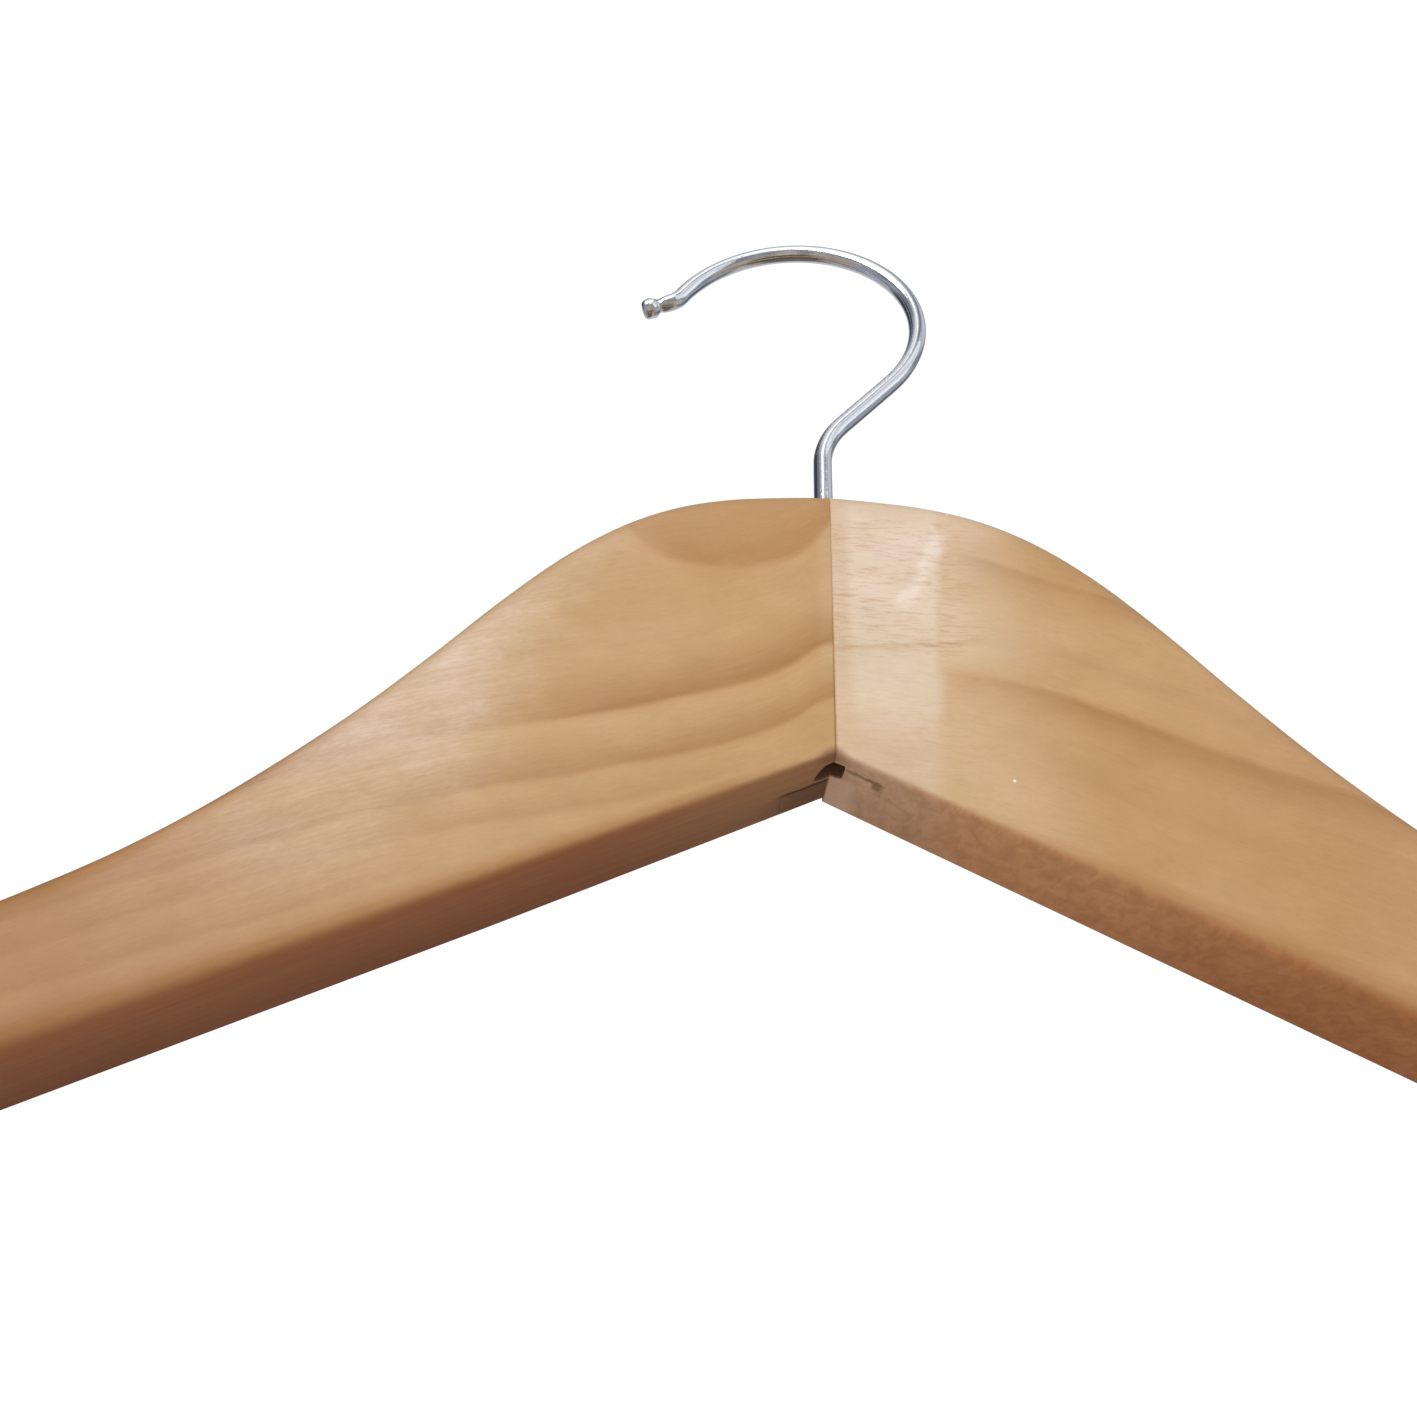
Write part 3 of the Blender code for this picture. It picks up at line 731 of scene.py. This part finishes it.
        # a second line high up, running down to the top edge
        zl = N.curve(ax, [(-8, -10.0), (19.8, -13.2), (24.6, -14.8), (30.1, -17.0), (35.6, -18.8), (40.2, -20.2), (52, -25.6),
                          (70, -34.0), (100, -50.0), (225, -112.0)], -8.0, 225.0, -115.0, -5.0)
        dl = N.add(N.sub(zl, z), N.mad(f1, 0.9, -0.45))
        l1 = N.mul(N.m("POWER", N.m("SUBTRACT", 1.0, N.m("DIVIDE", dl, 6.5), clamp=True), 1.5), N.step(dl, -0.7, 0.5))
        l1 = N.all(l1, N.step(ax, 16.5, 23.0), N.mad(N.step(ax, 40.0, 54.0), -0.6, 1.0))
        above = N.all(N.step(dl, 0.3, -0.9), N.step(dl, -12.0, -5.0), N.step(ax, 24.0, 34.0), 0.45)
        b = N.add(b, N.add(N.mul(l1, 0.85), above))
        b = N.add(b, N.all(band(7.6, 2.4, 4.0, False), 0.22, N.step(ax, 24.0, 34.0)))
        b = N.add(b, N.all(band(-12.5, 3.0, 5.0, False), 0.16, N.step(ax, 20.0, 30.0)))
        b = N.add(b, N.all(band(-20.5, 3.0, 5.0, False), 0.14, N.step(ax, 44.0, 56.0)))
        b = N.mul(b, quiet)
        col = N.mix(b, base, tinted(base, 0.740, 0.610, 0.460))

    if side < 0:
        # heart-coloured patch beside the seam, under the top edge
        zp = N.curve(ax, [(-8, 2.0), (-1, -6.5), (1.3, -10.0), (3.6, -12.9), (6.3, -15.0), (14.0, -17.0), (22.5, -16.6),
                          (27.0, -14.6), (31.0, -9.0), (35.0, 2.0), (60.0, 30.0)], -8.0, 60.0, -20.0, 30.0)
        dp = N.add(N.sub(z, zp), N.add(N.mad(sway, 2.4, -1.2), N.mad(f1, 1.4, -0.7)))
        inside = N.all(N.step(dp, -1.3, 1.0), N.mad(N.step(dp, 1.5, 9.0), -0.48, 1.0),
                       N.mad(N.step(ax, 31.0, 21.0), 0.55, 0.45), N.mad(N.step(mott, 0.34, 0.62), 0.30, 0.80))
        col = N.mix(inside, col, tinted(col, 0.830, 0.715, 0.600))
        # painted reflection: a paler, whitish sheen of light on the varnish out along the arm, painted into the colour
        zh = N.curve(ax, [(-8, 12.0), (20, 6.0), (28, -10.0), (33, -22.0), (38, -34.0), (44, -49.0), (52, -57.0), (60, -64.0),
                          (74, -71.0), (90, -80.0), (225, -140.0)], -8.0, 225.0, -145.0, 15.0)
        e = N.add(N.sub(z, zh), N.add(N.mad(hue, 12.0, -6.0), N.add(N.mad(mott, 7.0, -3.5), N.mad(f1, 3.0, -1.5))))
        sheen_reflection_left = N.all(N.step(e, -13.0, 24.0), N.mad(N.step(ax, 50.0, 40.0), -0.25, 1.0), N.step(N.add(ax, N.mad(mott, 12.0, -6.0)), 16.0, 56.0),
                     N.mad(N.step(ax, 58.0, 78.0), -0.62, 1.0),
                     N.step(ax, 96.0, 72.0), N.step(depth, 2.2, 0.0), front)
        streak = N.mad(N.step(f2, 0.30, 0.70), 0.16, N.mad(N.step(f1, 0.35, 0.70), 0.14, N.mad(f0, 0.40, 0.26)))
        col = N.mix(N.mul(sheen_reflection_left, streak), col, rgb(222, 200, 180, GAIN))
        # paler strip beside the seam
        sp = N.all(N.step(ax, 2.6, 1.2), N.step(z, -6.0, -10.0), N.step(z, -38.0, -32.0), 0.75)
        col = N.mix(sp, col, tinted(col, 1.05, 1.12, 1.26))
    else:
        # paler zone beside the seam, a painted reflection of the light in the varnish: a soft upright border below,
        # drawn out above
        xb = N.mad(z, 0.079, 17.2)
        e = N.add(N.sub(ax, xb), N.add(N.mad(mott, 1.8, -0.9), N.mad(f1, 1.2, -0.6)))
        near = N.step(e, 1.3, -1.3)
        upz = N.step(z, -35.0, -30.0)
        wide = N.all(upz, N.step(N.add(ax, N.add(N.mad(mott, 6.0, -3.0), N.mad(f1, 4.0, -2.0))), 30.0, 15.0), 0.62)
        wide = N.mul(wide, N.mad(N.all(N.step(z, -8.0, -12.0), N.step(z, -24.0, -20.0)), -0.45, 1.0))
        pale = N.m("MAXIMUM", near, wide)
        pale = N.all(pale, N.step(depth, 4.5, 0.3), front)
        sheen_colour_right = N.mix(N.step(z, -20.0, -36.0), rgb(225, 203, 180, GAIN), rgb(219, 196, 169, GAIN))
        sheen_colour_right = N.mix(N.mul(N.step(z, -38.0, -47.0), 0.9), sheen_colour_right, rgb(208, 178, 146, GAIN))
        sheen_colour_right = N.mix(N.mul(N.step(z, -8.0, -3.0), 0.7), sheen_colour_right, rgb(215, 188, 162, GAIN))
        sheen_colour_right = N.mix(N.mul(N.step(ax, 3.4, 1.4), 0.75), sheen_colour_right, rgb(212, 182, 151, GAIN))
        col = N.mix(N.mul(pale, 0.94), col, sheen_colour_right)
        # a brighter slanting streak in it
        d = N.add(N.mad(N.sub(ax, 13.2), 0.915, N.mul(N.sub(z, -16.4), -0.402)),
                  N.add(N.mad(mott, 3.0, -1.5), N.mad(f1, 1.6, -0.8)))
        st = N.all(N.step(N.abs(d), 1.9, 0.2), N.step(z, -25.0, -21.0), N.step(z, -8.0, -11.0), front)
        col = N.mix(N.mul(st, 0.55), col, rgb(238, 222, 206, GAIN))
        # short cross fibres
        cf = noise3(N.mul(x, 1 / 3.6), N.mul(y, 1 / 2.6), N.mul(z, 1 / 0.40), 4.0, 0.7)
        cg = noise3(N.mul(x, 1 / 9.0), N.mul(y, 1 / 8.0), N.mul(z, 1 / 2.0), 2.0, 0.5)
        zone = N.all(N.step(z, -5.0, -8.0), N.mad(N.step(z, -33.0, -29.0), 0.72, 0.28), N.step(ax, 25.0, 15.0))
        cfm = N.all(N.step(N.add(cf, N.mad(cg, 0.30, -0.15)), 0.50, 0.64), zone, front)
        col = N.mix(N.mul(cfm, 0.85), col, tinted(col, 0.845, 0.745, 0.650))
        cl = N.all(N.step(N.add(cf, N.mad(cg, 0.25, -0.125)), 0.46, 0.33), zone, front)
        col = N.mix(N.mul(cl, 0.50), col, tinted(col, 1.06, 1.08, 1.11))
        # two pin-head specks of dust in the varnish
        for px, pz, pr in ((17.9, -4.6, 0.26), (22.6, -50.2, 0.24)):
            dd = N.add(N.m("POWER", N.sub(ax, px), 2.0), N.m("POWER", N.sub(z, pz), 2.0))
            sp = N.all(N.step(dd, pr * pr, pr * pr * 0.3), front, 0.85)
            col = N.mix(sp, col, rgb(244, 236, 226, GAIN))
        # one thin line across it
        dt = N.abs(N.add(N.sub(z, N.mad(ax, 0.095, -30.9)), N.mad(f1, 0.5, -0.25)))
        thin = N.all(N.step(dt, 0.75, 0.1), N.step(ax, 22.0, 15.0), N.mad(N.step(cf, 0.35, 0.55), 0.5, 0.5), front)
        col = N.mix(N.mul(thin, 0.75), col, tinted(col, 0.86, 0.77, 0.68))

    # slow change of tone and hue, then the fine figure
    kk = N.all(N.mad(f0, 0.150, 0.925), N.mad(f1, 0.120, 0.940), N.mad(f2, 0.080, 0.960), N.mad(mott, 0.210, 0.895),
               N.mad(hue, 0.130, 0.935))
    kh = N.mad(hue, 0.22, 0.89)
    col = N.mix(1.0, col, N.vec(N.mad(kk, 0.85, 0.15), kk, N.all(N.m("POWER", kk, 1.35), kh)), "MULTIPLY")
    po = noise3(N.mul(ax, 1 / 1.5), N.mul(v, 1 / 0.20), N.mul(y, 1 / 0.25), 2.0, 0.5)
    pore = N.mul(N.step(po, 0.64, 0.74), N.step(mott, 0.40, 0.60))
    col = N.mix(N.mul(pore, 0.16), col, tinted(col, 0.66, 0.56, 0.46))

    # painted shade towards the lower edge, where the face rolls away from the light: browner and darker, the wider the
    # further out
    w = N.mad(N.m("MINIMUM", ax, 100.0), 0.030 if side < 0 else 0.022, 0.6)
    low_edge_shade = N.step(N.m("DIVIDE", N.sub(dlow, rlow), w), 1.0, -0.2)
    low_edge_shade = N.mul(low_edge_shade, N.step(ax, 0.0, 22.0) if side < 0 else N.step(ax, 6.0, 40.0))
    if side < 0:
        col = N.mix(low_edge_shade, col, tinted(col, 0.86, 0.785, 0.71))
    else:
        col = N.mix(low_edge_shade, col, tinted(col, 0.90, 0.83, 0.76))

    # painted shade on the rounded upper edge: warmer and darker where it turns away from the light
    top = N.all(N.step(depth, 0.05, 2.4), N.step(dlow, 6.0, 9.0))
    if side < 0:
        top_edge_shade_tint = N.mix(N.step(ax, 50.0, 78.0), (0.96, 0.94, 0.93, 1.0), (0.80, 0.70, 0.63, 1.0))
    else:
        top_edge_shade_tint = (0.96, 0.93, 0.91, 1.0)
    col = N.mix(top, col, N.mix(1.0, col, top_edge_shade_tint, "MULTIPLY"))

    # underside, with painted shade: the left half painted darker as it faces away from the light, the right half
    # lighter as it faces it, both darker towards the back; each half of the joint is coloured by where it lies, so the
    # tongues blend in
    yf = N.step(y, -8.0, 8.0)
    dist = N.abs(x)
    underside_left_shaded = N.mix(N.step(dist, 4.0, 34.0), rgb(146, 103, 70, GAIN), rgb(139, 89, 58, GAIN))
    underside_left_shaded = N.mix(yf, underside_left_shaded, tinted(underside_left_shaded, 0.72, 0.72, 0.78))
    ls = noise3(N.mul(dist, 1 / 20.0), N.mul(y, 1 / 1.1), 3.0, 3.0, 0.6)
    lg = noise3(N.mul(dist, 1 / 3.0), N.mul(y, 1 / 0.5), 5.0, 2.0, 0.6)
    kl = N.mul(N.mad(ls, 0.34, 0.83), N.mad(lg, 0.16, 0.92))
    underside_left_shaded = N.mix(1.0, underside_left_shaded, N.vec(kl, N.m("POWER", kl, 1.2), N.m("POWER", kl, 1.4)), "MULTIPLY")
    underside_right_lit = N.mix(N.step(dist, 3.0, 24.0), rgb(178, 140, 110, GAIN), rgb(180, 129, 87, GAIN))
    underside_right_lit = N.mix(N.step(dist, 24.0, 60.0), underside_right_lit, rgb(162, 106, 66, GAIN))
    underside_right_lit = N.mix(yf, underside_right_lit, tinted(underside_right_lit, 0.84, 0.80, 0.80))
    rs = noise3(N.mul(dist, 1 / 1.6), N.mul(y, 1 / 3.6), N.mul(dlow, 1 / 2.0), 3.0, 0.62, 0.8)
    rl = noise3(N.mul(dist, 1 / 8.0), N.mul(y, 1 / 3.0), 1.0, 3.0, 0.6)
    kr = N.mul(N.mad(N.step(rs, 0.34, 0.68), 0.17, 0.90), N.mad(rl, 0.30, 0.86))
    underside_right_lit = N.mix(1.0, underside_right_lit, N.vec(kr, N.m("POWER", kr, 1.2), N.m("POWER", kr, 1.4)), "MULTIPLY")
    col = N.mix(under, col, N.mix(N.step(x, -0.15, 0.10), underside_left_shaded, underside_right_lit))

    # glue line, and painted shade at the dark foot of the joint
    seam = N.all(N.step(N.abs(N.add(x, N.mad(f0, 0.1, -0.05))), 0.30, 0.05), N.step(depth, 5.0, 3.0))
    col = N.mix(N.mul(seam, N.mad(N.step(z, -14.0, -44.0), 0.55, 0.25)), col, tinted(col, 0.66, 0.55, 0.45))
    wob = N.mad(noise3(N.mul(x, 1 / 3.0), N.mul(y, 1 / 3.0), 2.0, 2.0, 0.5), 0.9, -0.45)
    gn = noise3(N.mul(x, 1 / 0.9), N.mul(y, 1 / 0.8), 0.0, 3.0, 0.6)
    low_x = N.step(dlow, 1.3, 0.8)
    xl = N.mul(x, -1.0)
    # left: a dark line along the tongue, and painted shade over the tongue itself, dark brown like the shaded left
    # underside
    gl = N.all(N.step(N.abs(N.add(N.add(y, 0.1), wob)), 0.60, 0.20), N.step(xl, 8.2, 5.0), N.step(xl, -0.5, 0.5), low_x)
    tongue_shade = N.all(N.step(N.add(y, wob), -0.1, 0.6), N.step(N.add(xl, N.mad(gn, 2.0, -1.0)), 11.0, 3.0), N.step(xl, -0.2, 0.1), low_x)
    col = N.mix(N.mul(tongue_shade, 0.60), col, rgb(84, 55, 37, GAIN))
    col = N.mix(N.mul(gl, 0.88), col, rgb(70, 42, 28, GAIN))
    # right: squeezed-out glue along the other tongue and at its end
    line = N.add(N.sub(N.add(y, 4.75), N.mul(x, 0.05)), N.add(wob, N.mad(gn, 1.2, -0.6)))
    gr = N.all(N.step(N.abs(line), 0.60, 0.12), N.step(x, 6.9, 6.1), N.step(x, 1.2, 2.2), low_x)
    cn = N.all(N.step(N.add(N.abs(N.sub(x, 5.7)), N.mad(gn, 1.6, -0.8)), 1.0, 0.3), N.step(y, -5.2, -4.6),
               N.step(y, -2.4, -3.2), low_x)
    col = N.mix(N.mul(N.m("MAXIMUM", gr, cn), 0.70), col, rgb(106, 84, 50, GAIN))
    pk = N.all(N.step(N.abs(N.sub(x, 1.2)), 3.4, 1.2), N.step(x, -0.2, 0.2), N.step(y, -2.6, -0.6), low_x)
    col = N.mix(N.mul(pk, 0.50), col, rgb(196, 164, 142, GAIN))
    # painted shade at the foot of the seam, above the notch
    seam_foot_shade = N.all(N.step(N.abs(N.add(x, 0.4)), 2.6, 0.5), N.step(dlow, 1.6, 0.5), N.step(y, 2.0, 0.0), N.step(y, -5.4, -6.2))
    col = N.mix(N.mul(seam_foot_shade, 0.55), col, rgb(116, 80, 56, GAIN))
    # painted shade inside the notch at the foot of the seam
    notch_shade = N.all(N.step(N.abs(N.add(x, 0.25)), 3.2, 2.5), N.step(depth, 1.9, 2.5), N.step(dlow, 0.02, 0.4),
                 N.step(dlow, 7.5, 6.5), N.step(y, 1.0, -0.6))
    col = N.mix(notch_shade, col, rgb(112, 80, 62, GAIN))

    N.put(B.inputs["Base Color"], col)
    rg = N.add(N.mad(f1, 0.10, 0.42), N.mul(pore, 0.10))
    N.put(B.inputs["Roughness"], N.add(rg, N.mul(under, 0.15)))
    dull = N.m("MAXIMUM", under, N.mul(top, 0.6))
    N.put(B.inputs["Specular IOR Level"], N.mad(dull, -0.17, 0.20))
    N.put(B.inputs["Coat Weight"], N.mad(dull, -0.095, 0.10))
    B.inputs["Coat Roughness"].default_value = 0.30
    B.inputs["Coat IOR"].default_value = 1.5
    # bump: fibres, pores and a very slight orange peel in the varnish
    h = N.add(N.mul(f1, 0.55), N.mul(f2, 0.35))
    h = N.sub(h, N.mul(pore, 0.5))
    h = N.add(h, N.mul(N.noise(N.vec(x, y, z), 1.4, 2.0, 0.5), 0.5))
    bp = N.node("ShaderNodeBump")
    bp.inputs["Strength"].default_value = 0.16
    bp.inputs["Distance"].default_value = 0.00012
    N.put(bp.inputs["Height"], h)
    N.put(B.inputs["Normal"], bp.outputs[0])
    return m


def chrome():
    m, N, B = new_material("chrome_plate")
    x, y, z = N.mm()
    big = N.noise(N.vec(x, y, z), 0.35, 3.0, 0.55)
    fine = N.noise(N.vec(x, y, z), 2.4, 3.0, 0.6)
    draw = N.noise(N.vec(N.mul(x, 3.0), N.mul(y, 3.0), N.mul(z, 0.5)), 1.0, 3.0, 0.6)
    col = N.mix(big, (0.80, 0.82, 0.86, 1.0), (0.90, 0.91, 0.93, 1.0))
    col = N.mix(N.mul(N.step(fine, 0.60, 0.74), 0.30), col, (0.62, 0.64, 0.69, 1.0))
    N.put(B.inputs["Base Color"], col)
    B.inputs["Metallic"].default_value = 1.0
    N.put(B.inputs["Roughness"], N.add(N.mad(fine, 0.06, 0.030), N.mul(draw, 0.025)))
    bp = N.node("ShaderNodeBump")
    bp.inputs["Strength"].default_value = 0.42
    bp.inputs["Distance"].default_value = 0.00012
    N.put(bp.inputs["Height"], N.add(N.mul(big, 1.0), N.mul(fine, 0.22)))
    N.put(B.inputs["Normal"], bp.outputs[0])
    return m


def zinc():
    m, N, B = new_material("zinc_plate")
    x, y, z = N.mm()
    n1 = N.noise(N.vec(x, y, N.mul(z, 4.0)), 1.6, 4.0, 0.6)
    col = N.mix(n1, (0.42, 0.42, 0.41, 1.0), (0.66, 0.65, 0.62, 1.0))
    N.put(B.inputs["Base Color"], col)
    B.inputs["Metallic"].default_value = 1.0
    N.put(B.inputs["Roughness"], N.mad(n1, 0.25, 0.25))
    bp = N.node("ShaderNodeBump")
    bp.inputs["Strength"].default_value = 0.2
    bp.inputs["Distance"].default_value = 0.00005
    N.put(bp.inputs["Height"], n1)
    N.put(B.inputs["Normal"], bp.outputs[0])
    return m


for ob in (left, right):                          # the rounded ends go no lower than the arms do
    for p in ob.data.vertices:
        p.co.z = max(p.co.z, lo0[2])
left.data.materials.clear()
left.data.materials.append(wood("varnished_wood_left", -1))
right.data.materials.clear()
right.data.materials.append(wood("varnished_wood_right", 1))
wire.data.materials.append(chrome())
washer.data.materials.append(zinc())

for ob, body, node, slot in ((left, "hanger_body", "left_arm", "wood_left"), (right, "hanger_body", "right_arm", "wood_right"),
                             (wire, "hook", "hook", "hook_chrome"), (washer, "hook", "hook_washer", "washer_zinc")):
    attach(ob, body)
    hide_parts(node)

# ------------------------------------------------------------------ stage
bm = bmesh.new()
bmesh.ops.create_grid(bm, x_segments=2, y_segments=2, size=30.0)
me = bpy.data.meshes.new("floor")
bm.to_mesh(me)
bm.free()
floor = bpy.data.objects.new("floor", me)
floor.location = (0.0, 0.0, -0.30)
C.scene.collection.objects.link(floor)
fm, FN, FB = new_material("pale_floor")
FB.inputs["Base Color"].default_value = (0.92, 0.92, 0.92, 1.0)
FB.inputs["Roughness"].default_value = 0.9
FB.inputs["Specular IOR Level"].default_value = 0.0
FB.inputs["Emission Color"].default_value = (1.0, 1.0, 1.0, 1.0)
FB.inputs["Emission Strength"].default_value = 0.16
flp = FN.node("ShaderNodeLightPath")
ftr = FN.node("ShaderNodeBsdfTransparent")
fmx = FN.node("ShaderNodeMixShader")
fm.node_tree.links.new(flp.outputs["Is Glossy Ray"], fmx.inputs[0])
fm.node_tree.links.new(FB.outputs[0], fmx.inputs[1])
fm.node_tree.links.new(ftr.outputs[0], fmx.inputs[2])
fout = [n for n in fm.node_tree.nodes if n.type == "OUTPUT_MATERIAL"][0]
fm.node_tree.links.new(fmx.outputs[0], fout.inputs[0])
floor.data.materials.append(fm)

world = bpy.data.worlds.new("studio")
C.scene.world = world
world.use_nodes = True
wt = world.node_tree
wt.nodes.clear()
W = Net(wt)
tc = W.node("ShaderNodeTexCoord")
sep = W.node("ShaderNodeSeparateXYZ")
wt.links.new(tc.outputs["Generated"], sep.inputs[0])
dx, dy, dz = sep.outputs


def blob(cx, cy, cz, inner, outer):
    """Soft-edged patch of the sky round a direction, by the cosine to it."""
    l = math.sqrt(cx * cx + cy * cy + cz * cz)
    d = W.add(W.mad(dx, cx / l, W.mul(dy, cy / l)), W.mul(dz, cz / l))
    return W.step(d, math.cos(math.radians(outer)), math.cos(math.radians(inner)))


# what polished metal sees: a grey room, one bright window in front, dark furniture
room = W.noise(W.vec(dx, dy, dz), 3.2, 3.0, 0.6)
g = W.mad(W.step(room, 0.34, 0.66), 0.30, 0.20)
for cx, cy, cz, inner, outer, level in (
        (0.00, 1.00, 0.45, 20, 52, 0.62), (0.62, -0.10, 0.72, 8, 24, 0.62), (0.90, -0.43, 0.10, 4, 13, 0.62),
        (-0.10, -0.45, 0.88, 8, 22, 0.75), (0.28, -0.73, 0.62, 4, 11, 0.60),
        (-0.68, 0.22, 0.68, 16, 34, 0.06), (-0.66, -0.36, 0.62, 6, 17, 0.22), (0.78, 0.60, 0.19, 8, 24, 0.14),
        (0.30, -0.55, 0.78, 2, 7, 0.22), (-0.35, -0.85, 0.15, 6, 18, 0.20), (0.35, -0.90, -0.10, 5, 14, 0.24),
        (0.02, 0.15, -1.00, 26, 44, 0.10), (0.0, 0.75, -0.65, 14, 30, 0.16), (-0.75, -0.10, -0.62, 14, 34, 0.36),
        (-0.12, -0.90, 0.40, 7, 15, 1.30), (-0.10, -0.70, 0.70, 5, 13, 1.30), (-0.04, -0.60, -0.78, 5, 14, 0.50)):
    f = blob(cx, cy, cz, inner, outer)
    g = W.add(W.mul(g, W.inv(f)), W.mul(f, level))
g = W.mul(g, W.mad(W.noise(W.vec(dx, dy, dz), 9.0, 3.0, 0.65), 0.9, 0.55))
bg_gloss = W.node("ShaderNodeBackground")
cool = W.mix(W.step(g, 0.15, 0.9), (0.80, 0.86, 1.0, 1.0), (1.0, 1.0, 1.0, 1.0))
W.put(bg_gloss.inputs["Color"], W.mix(W.step(dz, -0.25, -0.6), cool, (1.0, 0.86, 0.72, 1.0)))
W.put(bg_gloss.inputs["Strength"], g)
bg_soft = W.node("ShaderNodeBackground")
bg_soft.inputs["Color"].default_value = (1.0, 1.0, 1.0, 1.0)
bg_soft.inputs["Strength"].default_value = 0.80
bg_cam = W.node("ShaderNodeBackground")
bg_cam.inputs["Color"].default_value = (1.0, 1.0, 1.0, 1.0)
bg_cam.inputs["Strength"].default_value = 1.05
lp = W.node("ShaderNodeLightPath")
m1 = W.node("ShaderNodeMixShader")
wt.links.new(lp.outputs["Is Glossy Ray"], m1.inputs[0])
wt.links.new(bg_soft.outputs[0], m1.inputs[1])
wt.links.new(bg_gloss.outputs[0], m1.inputs[2])
m2 = W.node("ShaderNodeMixShader")
wt.links.new(lp.outputs["Is Camera Ray"], m2.inputs[0])
wt.links.new(m1.outputs[0], m2.inputs[1])
wt.links.new(bg_cam.outputs[0], m2.inputs[2])
wo = W.node("ShaderNodeOutputWorld")
wt.links.new(m2.outputs[0], wo.inputs[0])


def sun(name, direction, strength, angle):
    l = bpy.data.lights.new(name, "SUN")
    l.energy = strength
    l.angle = math.radians(angle)
    o = bpy.data.objects.new(name, l)
    o.rotation_euler = Vector(direction).to_track_quat("Z", "Y").to_euler()
    C.scene.collection.objects.link(o)
    return o


sun("key", (-0.45, -0.85, 0.38), 1.5, 38.0)
sun("fill", (0.55, -0.60, 0.20), 0.35, 60.0)

# ------------------------------------------------------------------ camera
F_PX, SIZE = 931.4, 1417.0
yaw, pitch, roll = (math.radians(a) for a in (-0.716, 30.856, -3.265))
fwd = Vector((math.sin(yaw) * math.cos(pitch), math.cos(yaw) * math.cos(pitch), math.sin(pitch)))
rt = Vector((math.cos(yaw), -math.sin(yaw), 0.0))
dn = fwd.cross(rt)
r2 = rt * math.cos(roll) + dn * math.sin(roll)
d2 = -rt * math.sin(roll) + dn * math.cos(roll)
pos = Vector((-15.502, -106.141 - T2, -104.978 - SEAT)) * MM
cam = bpy.data.cameras.new("camera")
cam.sensor_width = 36.0
cam.lens = F_PX / SIZE * 36.0
cam.clip_start = 0.005
cam.clip_end = 100.0
co = bpy.data.objects.new("camera", cam)
co.matrix_world = Matrix(((r2.x, -d2.x, -fwd.x, pos.x), (r2.y, -d2.y, -fwd.y, pos.y),
                          (r2.z, -d2.z, -fwd.z, pos.z), (0.0, 0.0, 0.0, 1.0)))
C.scene.collection.objects.link(co)
C.scene.camera = co
C.scene.view_settings.view_transform = "Standard"

C.view_layer.update()
